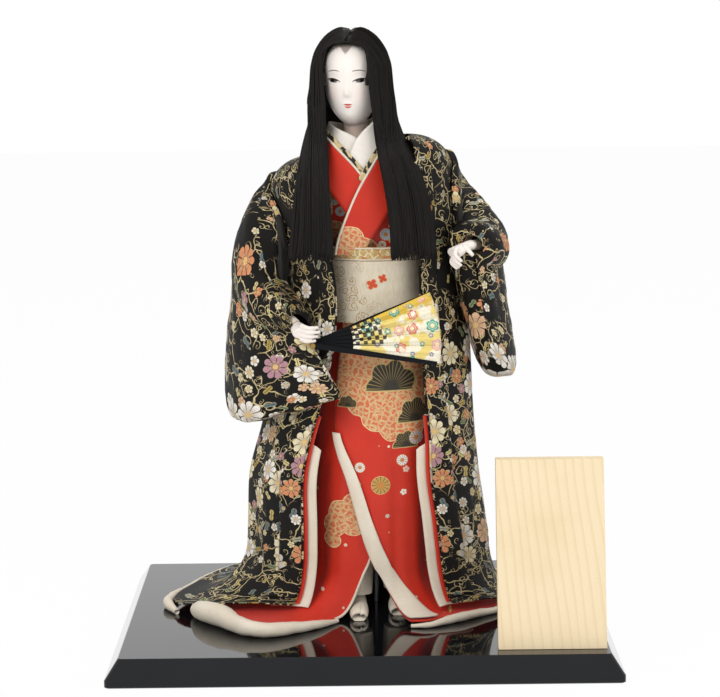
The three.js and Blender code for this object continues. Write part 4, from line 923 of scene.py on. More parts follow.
# Sash, the band above it and the knot behind
SASH_THICKNESS = 2
SKIRT_LAYER = CLOTH + 3 * GAP
WAIST_OFFSET = BODICE_OFFSET + CLOTH + 2 * GAP
SASH_OFFSET = WAIST_OFFSET + SKIRT_LAYER + CLOTH / 2 + 2 * GAP + SASH_THICKNESS / 2


def ring_of(low, high, bow, rows):
    def point(u, v):
        crease = 0.25 * math.sin(9 * v * math.pi + 3 * math.sin(TURN * u))
        return layer(mix(low, high, v), TURN * (u + 0.5), SASH_OFFSET + bow * math.sin(math.pi * v) + crease * 0.4)

    return sample(point, 120, rows, True)


sheet_piece("sash", ring_of(SASH_BOTTOM + 1, SASH_TOP, 0.5, 40), [SASH], "sash_silk",
            SASH_THICKNESS, True)
sheet_piece("sash_band", ring_of(SASH_TOP + GAP, SASH_TOP + SASH_BAND, 0.4, 14), [GOLD], "gold_brocade",
            SASH_THICKNESS, True)
for k, height in enumerate((SASH_TOP + 1.2, SASH_TOP + SASH_BAND - 0.8)):
    cord_path = lambda t: layer(height, TURN * t, SASH_OFFSET + SASH_THICKNESS / 2 + 0.3)
    roll("band_edge_%d" % (k + 1), cord_path, lambda t: 0.6, 120, 6)

KNOT_HALF_WIDTH, KNOT_HALF_HEIGHT, KNOT_DEPTH, KNOT_GAP = 22, 26, 12, 0.6
knot_front = BODY_Y + TORSO_DEPTH(SASH_TOP) + SASH_OFFSET
knot_middle = (SASH_BOTTOM + SASH_TOP) / 2


def knot(u, v):
    swell = 1 - 0.5 * abs(2 * v - 1) ** 4
    a = TURN * u
    fold = 1 + 0.05 * math.sin(6 * a) * math.sin(math.pi * v)
    return Vector((
        SPINE(knot_middle) + KNOT_HALF_WIDTH * swell * fold * math.sin(a),
        knot_front + KNOT_GAP + (KNOT_DEPTH - KNOT_GAP) * v,
        knot_middle + KNOT_HALF_HEIGHT * swell * fold * math.cos(a),
    ))


closed_piece("sash_knot", sample(knot, 64, 24, True), (SPINE(knot_middle), knot_front + KNOT_DEPTH / 2, knot_middle),
             SASH)

# Kimono skirt; its edges are angles in degrees from the front, by the share of the way down
KIMONO_TOP, KIMONO_FLARE = 256, 42
SKIRT_ROWS, SKIRT_FLARE_ROW = 12, 8
SKIRT_BACK, SKIRT_RADIUS, RIGHT_HEM_END, LEFT_HEM_END = 179.4, 62, -80, 76
SKIRT_FOLD, SKIRT_FOLDS, SKIRT_FOLD_TOP = 1.6, 9, 190
SKIRT_CREASE, SKIRT_CREASES, SKIRT_CREASE_TOP = 0.5, 23, 150
PADDED_CLOTH = 1.6


def skirt_half(torso, *pairs):
    """Half width or depth of the skirt, which lies on the bodice at the waist."""
    return through(*pairs, *((h, torso(h) + WAIST_OFFSET) for h in (SASH_BOTTOM, KIMONO_TOP)))


SKIRT_WIDTH = skirt_half(TORSO_WIDTH, (40, 49), (90, 48), (150, 46), (200, 41))
SKIRT_DEPTH = skirt_half(TORSO_DEPTH, (40, 43), (90, 42), (150, 40), (200, 35))
SKIRT_SPREAD = through(
    (-180, 92), (-120, 100), (-95, 128), (-81, 138), (-63, 124), (-45, 120), (-37, 94), (-26, 58), (0, 56),
    (31, 78), (46, 80), (65, 90), (76, 102), (95, 100), (130, 92), (180, 92),
)
INNER_EDGE = through((0, 30), (0.4, 26), (0.58, 8), (0.7, -8), (0.85, -20), (1, -28))
OUTER_EDGE = through(
    (0, -48), (0.32, -44), (0.45, -26), (0.6, -7), (0.68, 6), (0.76, 14), (0.85, 20), (1, 24)
)


def skirt_fold(angle, height):
    fold = SKIRT_FOLD * math.sin(SKIRT_FOLDS * angle + 0.8) * max(0, 1 - height / SKIRT_FOLD_TOP)
    crease = SKIRT_CREASE * math.sin(SKIRT_CREASES * angle + 0.02 * height) * max(0, 1 - height / SKIRT_CREASE_TOP)
    return fold + crease


def skirt_point(degrees, v, offset, reach_offset=None):
    angle, turn = math.radians(degrees), SKIRT_FLARE_ROW / SKIRT_ROWS
    if v < turn:
        h = mix(KIMONO_TOP, KIMONO_FLARE, v / turn)
        wide = SKIRT_WIDTH(h) + offset + skirt_fold(angle, h)
        return rounded(h, angle, wide, wide - SKIRT_WIDTH(h) + SKIRT_DEPTH(h))
    a = (v - turn) / (1 - turn) * math.pi / 2
    top = skirt_point(degrees, turn - 1e-6, offset)
    start = math.hypot(top.x - SPINE(KIMONO_FLARE), top.y - BODY_Y)
    reach = SKIRT_SPREAD(degrees) + (offset if reach_offset is None else reach_offset)
    low = FLOOR_GAP + CLOTH / 2 + 1.4 + offset
    h = KIMONO_FLARE - (KIMONO_FLARE - low) * math.sin(a)
    p = polar(h, angle, start + (reach - start) * (1 - math.cos(a)))
    p.x += SPINE(KIMONO_FLARE) - SPINE(h)
    return p


for side, edge, back, offset, figured in (
    ("right", INNER_EDGE, -SKIRT_BACK, 0, UNDER_SILK), ("left", OUTER_EDGE, SKIRT_BACK, SKIRT_LAYER, OVER_SILK),
):
    panel = sample(lambda u, v: skirt_point(mix(edge(v), back, u), v, offset), 110, 96)
    sheet_piece("kimono_%s_panel" % side, panel, [figured, WHITE_LINING], "red_silk")

FACING_WIDTH = through((0, 8.5), (0.14, 12), (0.5, 17), (0.8, 19), (1, 18))
FACING_ROW, PIPING_START = 4, 0.45


def swollen(u, crown):
    """Height of a padded band over its edges."""
    return crown * math.sin(math.pi * u) ** 0.6 if 0 < u < 1 else 0


def facing_point(u, v):
    along = mix(FACING_ROW / SKIRT_ROWS, 1, v)
    degrees = OUTER_EDGE(along) - 0.6 + math.degrees(FACING_WIDTH(v) * u / SKIRT_RADIUS)
    crown = swollen(u, 0.9)
    return skirt_point(degrees, along, 2 * SKIRT_LAYER + 0.3 + crown, SKIRT_LAYER - 0.8 + crown)


def inner_line(t):
    along = mix(PIPING_START, 1, t)
    return skirt_point(INNER_EDGE(along), along, 0.5)


roll("under_panel_piping", inner_line, lambda t: 1.1, 90, 8)
sheet_piece("kimono_front_facing", sample(facing_point, 16, 96), [WHITE_SILK], "white_silk",
            PADDED_CLOTH)


def hem_roll(name, edge, radius, outward, points, steps, sides, crease, seed):
    """Padded roll that lies on the plinth beside a hem."""
    line = []
    for t in (k / points for k in range(points + 1)):
        run = edge(min(t + 0.01, 1)) - edge(max(t - 0.01, 0))
        normal = Vector((run.y, -run.x, 0)).normalized() * outward
        p = edge(t) + normal * (CLOTH / 2 + 2 * GAP + radius(t))
        line.append((p.x, p.y, FLOOR_GAP + radius(t)))
    roll(name, curve(*line), radius, steps, sides, (name,), crease, seed)


hem_roll("kimono_hem_roll_right", lambda t: skirt_point(mix(INNER_EDGE(1), RIGHT_HEM_END, t), 1, 0),
         through((0, 1.6), (0.25, 5.2), (0.5, 7.2), (0.72, 8.8), (0.9, 7), (1, 2.4)), -1, 16, 110, 20, 0.5, 3.0)
hem_roll("kimono_hem_roll_left", lambda t: skirt_point(mix(OUTER_EDGE(1), LEFT_HEM_END, t), 1, SKIRT_LAYER),
         through((0, 1.4), (0.5, 3.4), (1, 2.4)), 1, 10, 80, 18, 0.4, 5.0)

# Outer robe; its degrees go round the back, from the right front edge to the left one
ROBE_NECK_RADIUS, ROBE_NECK_HEIGHT, ROBE_SHOULDER, SHOULDER_TILT = 39.5, 371, 345, 8
ROBE_FLARE, ROBE_HEM, ROBE_ROLL_RADIUS, ROBE_FOLD, ROBE_FOLDS = 55, 7.6, 3, 3, 13
ROBE_ROWS, ROBE_SHOULDER_ROW, ROBE_FLARE_ROW, BAND_HEM_ROW = 14, 2, 10, 13
ROBE_LAYER, BAND_RADIUS, TRAIN = CLOTH + 2 * GAP, 58, (80, 276)
FOLD_TOP, FOLD_START, FOLD_END = 300, (62, 90), (262, 288)
ROBE_CREASE, CREASE_START, CREASE_END, CREASE_FADE = 1.1, (50, 70), (285, 300), (340, 250)
TILT_HEIGHTS = (180, 320)
ROBE_WIDTH = through((35, 98), (65, 95), (110, 91), (155, 83), (220, 74), (280, 68), (ROBE_SHOULDER, 71))
ROBE_FRONT = through((40, 62), (100, 59), (155, 56), (220, 51), (280, 47), (ROBE_SHOULDER, 43))
ROBE_BACK = through((40, 82), (100, 76), (155, 68), (220, 62), (262, 61), (300, 54), (ROBE_SHOULDER, 38))
ROBE_SPREAD = through(
    (38, 76), (48, 84), (69, 114), (81, 156), (107, 150), (134, 148), (180, 128), (226, 128), (262, 118), (285, 108),
    (308, 82),
)
ROBE_HEM_HEIGHT = through(
    (38, 15), (62, 14.5), (74, 11), (84, ROBE_HEM), (180, ROBE_HEM), (270, ROBE_HEM), (284, 11), (294, 14), (308, 14)
)
ROBE_SWAY = through((55, -1), (80, -3), (115, -6), (150, -4), (220, 0))
RIGHT_FRONT = through((0, 62), (0.14, 47), (0.32, 35), (0.45, 38), (0.55, 44.5), (0.75, 46), (1, 48))
LEFT_FRONT = through((0, 300), (0.14, 312), (0.32, 322), (0.45, 320), (0.55, 315), (0.75, 312), (1, 308))


def robe_fold(degrees, height):
    fall = max(0, 1 - height / FOLD_TOP)
    inner = smooth(degrees, *FOLD_START) * (1 - smooth(degrees, *FOLD_END))
    main = ROBE_FOLD * math.sin(math.radians(degrees) * ROBE_FOLDS) * fall * inner
    fine = ROBE_CREASE * noise.noise(Vector((degrees / 7, height / 70, 2.0)))
    fine = fine * smooth(degrees, *CREASE_START) * (1 - smooth(degrees, *CREASE_END))
    return main + fine * smooth(height, *CREASE_FADE)


def shoulder_lift(angle, height):
    return SHOULDER_TILT * math.sin(angle) * smooth(height, *TILT_HEIGHTS)


def robe_fall(degrees, height, offset):
    angle = math.radians(-degrees)
    deep = ROBE_FRONT(height) if math.cos(angle) > 0 else ROBE_BACK(height)
    swell = offset + robe_fold(degrees, height)
    p = rounded(height, angle, ROBE_WIDTH(height) + swell, deep + swell)
    return p + Vector((ROBE_SWAY(height), 0, shoulder_lift(angle, height)))


def robe_point(degrees, v, offset):
    shoulder_end, flare = ROBE_SHOULDER_ROW / ROBE_ROWS, ROBE_FLARE_ROW / ROBE_ROWS
    angle = math.radians(-degrees)

    def reach_at(h):
        p = robe_fall(degrees, h, offset)
        return math.hypot(p.x - SPINE(h) - ROBE_SWAY(h), p.y - BODY_Y)

    if v < shoulder_end:
        a = v / shoulder_end * math.pi / 2
        reach = ROBE_NECK_RADIUS + (reach_at(ROBE_SHOULDER) - ROBE_NECK_RADIUS) * math.sin(a)
        top = ROBE_NECK_HEIGHT + offset
        h = top - (top - ROBE_SHOULDER) * (1 - math.cos(a))
        p = polar(h, angle, reach)
        p.z += shoulder_lift(angle, ROBE_SHOULDER)
        p.x += SPINE(ROBE_SHOULDER) - SPINE(h)
        return p
    if v < flare:
        down = (v - shoulder_end) / (flare - shoulder_end)
        return robe_fall(degrees, mix(ROBE_SHOULDER, ROBE_FLARE, down), offset)
    a = (v - flare) / (1 - flare) * math.pi / 2
    start = reach_at(ROBE_FLARE)
    reach = start + (ROBE_SPREAD(degrees) - start) * (1 - math.cos(a))
    h = ROBE_FLARE - (ROBE_FLARE - ROBE_HEM_HEIGHT(degrees) - offset) * math.sin(a)
    p = polar(h, angle, reach)
    p.x += SPINE(ROBE_FLARE) - SPINE(h) + ROBE_SWAY(ROBE_FLARE)
    return p


robe = sample(lambda u, v: robe_point(mix(RIGHT_FRONT(v), LEFT_FRONT(v), u), v, 0), 200, 126)
sheet_piece("robe_body", robe, [BROCADE, ROBE_LINING], "black_brocade")


def front_band(edge, inward, first, show, hidden, offset, crown=0.0):
    def point(u, v):
        row = mix(first, BAND_HEM_ROW, v) / ROBE_ROWS
        turn = math.degrees(mix(-show(v), hidden, u) / BAND_RADIUS)
        return robe_point(edge(row) + inward * turn, row, offset + swollen(u, crown))

    return sample(point, 12, 96)


padding_show = lambda v: mix(-3, 5.2, smooth(v, 0.1, 0.125))
for side, edge, inward in (("right", RIGHT_FRONT, 1), ("left", LEFT_FRONT, -1)):
    for part, band, material, slot, thickness in (
        ("collar", (2, lambda v: 0, 13, ROBE_LAYER + 0.3, 0.5), BROCADE, "black_brocade", CLOTH),
        ("lining", (7, lambda v: 0.9, 14, -ROBE_LAYER - 0.8), RED_LINING, "red_silk", CLOTH),
        ("facing", (7, padding_show, 14, -2 * ROBE_LAYER - 2.4, 0.8), WHITE_SILK, "white_silk", PADDED_CLOTH),
    ):
        sheet_piece("robe_%s_%s" % (part, side), front_band(edge, inward, *band), [material], slot,
                    thickness)
ROLL_RADIUS = through((0, 2), (0.03, 4), (0.12, ROBE_ROLL_RADIUS), (0.9, ROBE_ROLL_RADIUS), (1, 1.6))
hem_roll("robe_hem_roll", lambda t: robe_point(mix(*TRAIN, t), 1, 0), ROLL_RADIUS, -1, 28, 200, 16, 0.35, 9.0)

# Robe sleeves: rings from the seam down the arm, as place on the arm, foot, inward way, hang, room, lift, shift, fuller
SEAM_ANGLE, SEAM_HEIGHT, SEAM_MIDDLE = 20, 33, 316
SEAM_DEGREES = {"right": 97, "left": 263}
SLEEVE_ACROSS, SLEEVE_ALONG = 128, 84
SLEEVES = {
    "right": [
        (0.34, (-84, 10, 222), (0.75, -1), 21, 22, 29, 5, 1.45),
        (0.54, (-98, 4, 160), (1, -0.35), 17, 18, 38, 0, 1.85),
        (0.76, (-82, -30, 160), (0.85, 0.6), 12, 17, 17, 0, 1.4),
        (0.93, (-30, -51, 178), (0.75, 0.65), 5, 13, 13, 0, 1.2),
        (0.97, (-17, -55, 182), (0.75, 0.65), 2.5, 10),
        (0.985, (-17, -56, 187), (0.75, 0.65), 0.3, 7.5),
    ],
    "left": [
        (0.34, (96, 14, 232), (-0.35, -1), 15, 20, 26, 6, 1.3),
        (0.54, (110, 20, 192), (-1, -0.6), 15, 16, 28, 3, 1.7),
        (0.76, (116, -4, 188), (-1, 0), 10, 20, 20, 0, 2.6),
        (0.96, (106, -30, 204), (-1, 0.2), 4, 15, 15, 0, 4),
        (0.985, (100, -37, 212), (-1, 0.2), 0.3, 7.5),
    ],
}


def seam(side, offset, share):
    def at(a):
        degrees = SEAM_DEGREES[side] - (1 if side == "right" else -1) * SEAM_ANGLE * share * math.sin(a)
        height = SEAM_MIDDLE + SEAM_HEIGHT * share * math.cos(a)
        if height > ROBE_SHOULDER:
            row = ROBE_SHOULDER_ROW / ROBE_ROWS * (1 - 0.75 * (height - ROBE_SHOULDER) / 12)
            return robe_point(degrees, row, offset)
        return robe_fall(degrees, height, offset)

    return at


def sleeve_ring(side, place, foot, inner, hang, room, lift=None, shift=0, fuller=1):
    inner = Vector((inner[0], inner[1], 0)).normalized()
    lift = lift or room

    def at(a):
        top = ARMS[side](place) + Vector((0, 0, lift)) - inner * shift
        drop = 0.5 - 0.5 * math.cos(a)
        from_arm = (drop * (top.z - foot[2]) - lift) / lift
        round_arm = room * math.sqrt(max(1 - from_arm**2, 0))
        sign = (math.sin(a) > 1e-9) - (math.sin(a) < -1e-9)
        thick = max(
            round_arm * (min(fuller, 1.35) if sign > 0 else 1),
            hang * math.sqrt(abs(math.sin(a))) * (fuller if sign > 0 else 1),
        )
        return top.lerp(Vector(foot), drop) + inner * sign * thick

    return at


for number, side in enumerate(SIDES):
    rings = [seam(side, 1.2, 1.04), seam(side, 2.4 * ROBE_LAYER, 1.0)]
    rings += [sleeve_ring(side, *loop) for loop in SLEEVES[side]]
    columns = [curve(*(r(TURN * (i / SLEEVE_ACROSS)) for r in rings)) for i in range(SLEEVE_ACROSS)]
    grid = np.array([[c(j / SLEEVE_ALONG) for c in columns] for j in range(SLEEVE_ALONG + 1)])
    grid = wrinkled(grid, 2.0, 26.0, 11.0 + number, (1, 1, 0.6))
    grid = wrinkled(grid, 0.5, 7.0, 31.0 + number)
    sheet_piece("robe_sleeve_" + side, grid, [BROCADE, SLEEVE_LINING], "black_brocade",
                wrap=True, axis=nearest_on(grid.mean(1)))

# Legs and feet
FOOT_LENGTH, FOOT_WIDTH, ANKLE_HEIGHT, ANKLE_SHARE = 40, 15, 15, 0.72
ANKLE_RADIUS, HIP_RADIUS = 10.5, 15
FOOT_TOP = through((0, 6), (0.06, 9), (0.24, 11), (0.45, 12), (0.62, 14), (0.72, 15), (0.9, 13), (1, 9))
FOOT_SHARE = through((0, 0.7), (0.06, 0.9), (0.24, 1), (0.45, 0.96), (0.62, 0.84), (0.72, 0.8), (0.9, 0.8), (1, 0.6))
for side, foot_x, toe_y in (("right", -4, -44), ("left", 27, -30)):
    def leg_point(u, v):
        t, a = 1 - v, TURN * u
        radius = mix(ANKLE_RADIUS, HIP_RADIUS, math.sqrt(t)) + 0.35 * math.sin(7 * a + 3 * t)
        height = mix(ANKLE_HEIGHT + 2 * GAP, HIP_HEIGHT - GAP, t)
        y = mix(toe_y + FOOT_LENGTH * ANKLE_SHARE, BODY_Y - 2, t)
        return Vector((foot_x + radius * math.sin(a), y - radius * math.cos(a), height))

    def foot_point(u, v):
        a = TURN * u
        lift = (max(math.sin(a), -0.75) + 0.75) / 1.75
        split = 1.6 * bell(math.cos(a), 0.3, 0.12) * max(0, 1 - v / 0.3) * (math.sin(a) > 0)
        return Vector((
            foot_x + 0.5 * FOOT_WIDTH * FOOT_SHARE(v) * math.cos(a),
            toe_y + FOOT_LENGTH * v,
            FLOOR_GAP + max(lift * FOOT_TOP(v) - split, 0),
        ))

    closed_piece("leg_" + side, sample(leg_point, 48, 60, True), lambda p: p * [0, 0, 1] + [foot_x, 0, 0], WHITE_SILK)
    closed_piece("foot_" + side, sample(foot_point, 64, 40, True), lambda p: p * [0, 1, 0] + [foot_x, 0, 6],
                 WHITE_SILK)

# Hands
HAND_LENGTH, HAND_WIDTH, HAND_VOXEL, HAND_ROUNDS = 35, 15, 0.45, 5
FINGER_RADIUS, THUMB_RADIUS = (2.1, 1.25), (2.4, 1.4)
FINGERS = (-0.36, -0.12, 0.12, 0.36)


def hand(side, reach, across_guide, thumb):
    arm = ARMS[side]
    reach, guide = Vector(reach).normalized(), Vector(across_guide)
    across = (guide - reach * guide.dot(reach)).normalized()
    along = tangent(arm, 1)
    wrist = arm(1) + along * (GAP + 0.2)
    curl = reach.cross(across).normalized()
    palm = 0.5 * HAND_LENGTH

    def place(a, b, c):
        return wrist + reach * a + across * b + curl * c

    palm_path = curve(wrist, wrist + along * 3, place(0.55 * palm, 0, 0), place(palm, 0, 0.6))
    grids = [tube_grid(palm_path, lambda t: 0.5 * HAND_WIDTH * mix(0.62, 0.98, t), 12, 18, 0.62)]
    for k, b in enumerate(FINGERS):
        length = (0.5 - 0.05 * abs(k - 1)) * HAND_LENGTH
        root = place(palm - 2, b * HAND_WIDTH, 0.4)
        knuckle = place(palm + 0.22 * length, b * HAND_WIDTH, 0.3 * length)
        tip = place(palm + 0.2 * length, b * HAND_WIDTH, 0.8 * length)
        grids.append(tube_grid(curve(root, knuckle, tip), lambda t: mix(*FINGER_RADIUS, t), 12, 12))
    back, side_share, out = thumb
    root, tip = (place(back * palm, side_share * HAND_WIDTH, c) for c in (1, out))
    grids.append(tube_grid(curve(root, root.lerp(tip, 0.5), tip), lambda t: mix(*THUMB_RADIUS, t), 10, 12))
    merged("hand_" + side, grids, HAND_VOXEL, HAND_ROUNDS, SKIN, "stand")


hand("right", (0.22, -0.95, -0.22), (0, 0, -1), (0.35, 0.1, 14))
hand("left", (-0.78, -0.56, -0.28), (0, 0.8, -0.6), (0.5, -0.35, 12))

# Head: skull with brow, nose, lips and chin
EYE_X, EYE_LEVEL, EYE_HALF = 10.4, 0.4, 4.9
NOSE_TIP, NECK_RADIUS, HEAD_VOXEL, HEAD_ROUNDS = -10.6, 10, 0.55, 2
PATCH_THICKNESS, PATCH_EASE = 0.5, 0.25


def turned(p):
    """A place in the head's own axes as a place over the plinth."""
    c, s = math.cos(HEAD_TURN), math.sin(HEAD_TURN)
    return Vector((HEAD_PLACE[0] + c * p[0] - s * p[1], HEAD_PLACE[1] + s * p[0] + c * p[1], HEAD_PLACE[2] + p[2]))


def relief(x, level):
    """How far the face stands out at a place across it and a level up it."""
    under = 1 if level > NOSE_TIP else bell(level, NOSE_TIP, 1.6)
    out = (0.7 * bell(level, 0, 6) + 2.5 * bell(level, NOSE_TIP, 4.2) * under) * bell(x, 0, 2.2)
    out += 0.5 * (bell(x, 2.2, 1.2) + bell(x, -2.2, 1.2)) * bell(level, -12.2, 1.5)
    out += (0.9 * bell(level, -18.2, 1.4) + 0.9 * bell(level, -21, 1.6)) * bell(x, 0, 3.6)
    out -= 0.35 * bell(x, 0, 3.8) * bell(level, -19.5, 0.5)
    for side in (-1, 1):
        out -= 1.0 * bell(x, side * EYE_X, 5.4) * bell(level, EYE_LEVEL + 1.6, 3.6)
        out += 0.8 * bell(x, side * EYE_X, 4.4) * bell(level, EYE_LEVEL, 2.1)
        out += 0.5 * bell(x, side * 11, 6.0) * bell(level, -12, 7)
        out += 0.35 * bell(x, side * 9, 6) * bell(level, 7.5, 2.4)
    out += 1.8 * bell(level, -27, 5.5) * bell(x, 0, 8)
    return out


def skull(level):
    """Share of the head's full width and depth at a level."""
    if level > 0:
        return math.sqrt(max(1 - (level / HEAD_HALF[2]) ** 3, 1e-6)), 1
    t = -level / CHIN
    return math.sqrt(max(1 - t**2.5, 1e-6)), 1 - 0.16 * t * t


def head_point(level, angle):
    egg, jaw = skull(level)
    x = HEAD_HALF[0] * egg * jaw * math.sin(angle)
    y = -HEAD_HALF[1] * egg * math.cos(angle)
    if math.cos(angle) > 0:
        y -= relief(x, level) * min(1, 2.2 * math.cos(angle))
    return (x - FACE_LEAN * (level - 10), y, level)


def face_at(x, level, lift):
    """Place that far in front of the face's surface."""
    egg, jaw = skull(level)
    angle = math.asin(max(min(x / (HEAD_HALF[0] * egg * jaw), 0.98), -0.98))
    px, py, pz = head_point(level, angle)
    return (px, py - lift, pz)


def head_surface(u, v):
    level = -math.cos(math.pi * mix(0.03, 0.97, v))
    return turned(head_point(level * (CHIN if level < 0 else HEAD_HALF[2]), TURN * u))


neck_foot = Vector((SPINE(TORSO_TOP), BODY_Y, TORSO_TOP + GAP))
neck_path = curve(neck_foot, neck_foot + Vector((0, 0, 14)), turned((1, 2, -12)))
neck_grid = tube_grid(neck_path, lambda t: NECK_RADIUS * mix(1.05, 0.9, t), 24, 40)
skull_grid = sample(head_surface, 160, 150, True)
skin = merged("head", [skull_grid, neck_grid], HEAD_VOXEL, HEAD_ROUNDS, FACE, "head").data
back_turn, plinth_rise = Matrix.Rotation(-HEAD_TURN, 3, "Z"), Vector((0, 0, PLINTH_TOP / MM))
local = np.array([back_turn @ (v.co / MM - Vector(HEAD_PLACE) - plinth_rise) for v in skin.vertices])
local[:, 0] += FACE_LEAN * (local[:, 2] - 10)
add_map(skin, "face", local[corner_points(skin)][:, [0, 2]])


def face_patch(name, middle, half, lift, material, slot, count=(28, 8)):
    """Small painted shape on the face: middle and half give its line and half height, from -1 to 1 along it."""
    def point(u, v):
        s, w = 2 * u - 1, 2 * v - 1
        (x, level), h = middle(s), half(s)
        crown = lift * math.sqrt(max(1 - w**2, 0)) * min(1, h / PATCH_EASE)
        return turned(face_at(x, level + h * w, crown))

    piece = link(name, grid_mesh(name, sample(point, *count), False, HEAD_PLACE), [material], "head")
    thicken(piece, PATCH_THICKNESS, offset=-1)


EYE_WHITE = plain("eye_white", "efe9e2", "e0d6cc", 0.12, 2.0, Coat_Weight=0.5)
EYE_DARK = plain("eye_dark", "0a0706", "1a100b", 0.06, 2.0, Coat_Weight=1.0)
INK = plain("ink", "15100d", "2a211c", 0.45, 1.0)
BROW_INK = plain("brow_ink", "4a4039", "6b6058", 0.5, 1.0)
LIP_RED = plain("lip_red", "c9321f", "b02a1c", 0.25, 1.0, Coat_Weight=0.4)
LIP_PINK = plain("lip_pink", "d9705c", "c95a48", 0.25, 1.0, Coat_Weight=0.4)
# Name; place across, half length, level, bend and tilt of the line; half height, its power and taper, least half height
STROKES = (
    ("eye", (EYE_X, EYE_HALF, EYE_LEVEL - 0.35, 0, 0.6), (1.35, 2, 0.75, 0.02), 0.25, EYE_WHITE, "white_paint"),
    ("iris", (EYE_X - 0.2, 3.3, EYE_LEVEL - 0.3, 0, 0), (1.3, 2, 0.4, 0.02), 0.42, EYE_DARK, "hair", (22, 10)),
    ("lash", (EYE_X, EYE_HALF + 0.8, EYE_LEVEL + 0.9, -1.35, 0.7), (0.62, 4, 1, 0.02), 0.45, INK, "hair"),
    ("lower_lash", (EYE_X, EYE_HALF * 0.9, EYE_LEVEL - 1.75, 1.2, 0.6), (0.16, 4, 1, 0.01), 0.3, INK, "hair"),
    ("brow", (9.8, 5.2, 7.9, -1.1, -0.1), (0.34, 4, 1, 0.01), 0.12, BROW_INK, "hair"),
)
for side, sign in zip(SIDES, (-1, 1)):
    for name, (across, half_length, level, bend, tilt), (tall, power, taper, least), *rest in STROKES:
        line = lambda s: (sign * across + half_length * s, level + bend * s**2 + tilt * s * sign)
        face_patch(name + "_" + side, line, lambda s: tall * max(1 - s**power, 0.0) ** taper + least, *rest)
face_patch("lip_upper", lambda s: (3.4 * s, -18.5 + 0.35 * abs(s)),
           lambda s: 0.8 * max(1 - abs(s) ** 1.6, 0.0) * (1 - 0.25 * bell(s, 0, 0.12)) + 0.02, 0.3, LIP_RED, "red_silk")
face_patch("lip_lower", lambda s: (2.8 * s, -20.3 + 0.55 * s**2), lambda s: 0.85 * max(1 - s**2, 0.0) + 0.02, 0.35,
           LIP_PINK, "red_silk")

# Hair
HAIR_THICKNESS, HAIR_SIDE_THICKNESS, HAIR_END, LOCK_THICKNESS = 8, 10, 287, 7
HAIR_WIDE = HEAD_HALF[0] + HAIR_SIDE_THICKNESS
HAIR_DEEP, HAIR_TOP = (half + HAIR_THICKNESS for half in HEAD_HALF[1:])
HAIR_Y, CAP_POWER, CAP_FOOT, CAP_INSET, CAP_THICKNESS = 2, 2.4, -20, 1.4, 2.6
SIDELOCK_END, SIDELOCK_EDGE = -3.5, 46
WINDOW = {
    "left": through((-4, 33), (2, 34), (8, 37), (20, 38), (24, 37.5), (27.5, 33), (29.3, 21), (30, 7), (30.6, 0)),
    "right": through((-4, 34), (2, 36), (7, 42), (20, 44), (24, 43), (27.5, 38), (29.3, 24), (30, 8), (30.6, 0)),
}


def parted(x, y, level):
    """Place on the dressed hair, with the groove of its parting."""
    groove = 2.4 * bell(x, 0, 2.6) * smooth(level, 24, 36)
    return Vector((x, y, level + 0.6 * smooth(level, 20, 38) - groove))


def cap_point(level, azimuth, out):
    """Surface of the dressed hair round the skull, in the head's own axes."""
    egg = math.sqrt(max(1 - max(level / HAIR_TOP, 0) ** CAP_POWER, 0))
    spread = 1 + 0.004 * max(-level, 0)
    x = (HAIR_WIDE * egg * spread + out) * math.sin(azimuth)
    return parted(x, HAIR_Y - (HAIR_DEEP * egg * spread + out) * math.cos(azimuth), level)


def cap_shell(u, v):
    level = mix(CAP_FOOT, HAIR_TOP - 0.05, 1 - (1 - v) ** 1.6)
    left, right = (SIDELOCK_EDGE if level < SIDELOCK_END else WINDOW[side](level) for side in ("left", "right"))
    return turned(cap_point(level, math.radians(mix(left, 360 - right, u)), -CAP_INSET))


cap = link("hair_cap", grid_mesh("hair_cap", sample(cap_shell, 120, 70), False, HEAD_PLACE), [HAIR], "head")
thicken(cap, CAP_THICKNESS, offset=-1)
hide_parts("hair_cap")

# Stations of each lock from the root down: place, half width and turn in degrees
LOCK_TOP = HEAD_PLACE[2] + CAP_FOOT - GAP
LOCKS = {
    "right": (
        ((-33.5, -1, LOCK_TOP), 18.5, 98), ((-33.5, -12.5, 380), 13.5, 122), ((-36, -34, 350), 13, 154),
        ((-37, -43, 315), 15, 166), ((-38, -47, HAIR_END), 17, 170),
    ),
    "left": (
        ((21.5, 0, LOCK_TOP), 19, 80), ((23.5, -13.5, 380), 14.5, 48), ((33.5, -35.5, 350), 16, 21),
        ((39.5, -43.5, 315), 16.5, 13), ((41.5, -47, HAIR_END), 17.5, 10),
    ),
    "back": (
        ((HEAD_PLACE[0], HEAD_PLACE[1] + HAIR_DEEP - 3, LOCK_TOP), 24, 0), ((-3, 52, 374), 32, 0),
        ((2, 61, 345), 40, 0), ((6, 71, 310), 45, 0), ((8, 78, HAIR_END), 47, 0),
    ),
}
BACK_FULLNESS = through((0.3, 0), (0.45, 3.5), (0.75, 6.5), (1, 9))
HAIRLINE = ((0.2, 30.6), (0.45, 29.6), (0.7, 27.8), (0.88, 23))
FRONT_EDGE = {"right": through((-19, 28.5), (-6, 33), (10, 38)), "left": through((-19, 38), (-6, 36.5), (10, 36))}
LOCK_STEPS = (0.27, 0.42, 0.58, 0.74, 0.9, 1.0)
STRANDS, STRAND_POINTS, STRAND_SIDES = 520, 44, 3
STRAND_SHARES = np.linspace(0, 1, STRAND_POINTS)
STRAND_RADIUS = np.array([
    0.2 + 0.32 * math.sin(math.pi * min(0.5 + 0.5 * t, 0.92)) for t in np.linspace(1, 0, STRAND_POINTS)
])
STRAND_RADIUS[-1] *= 0.5
BACK_ROOTS, SIDE_ROOTS = (4, 18), (-20.5, 9)
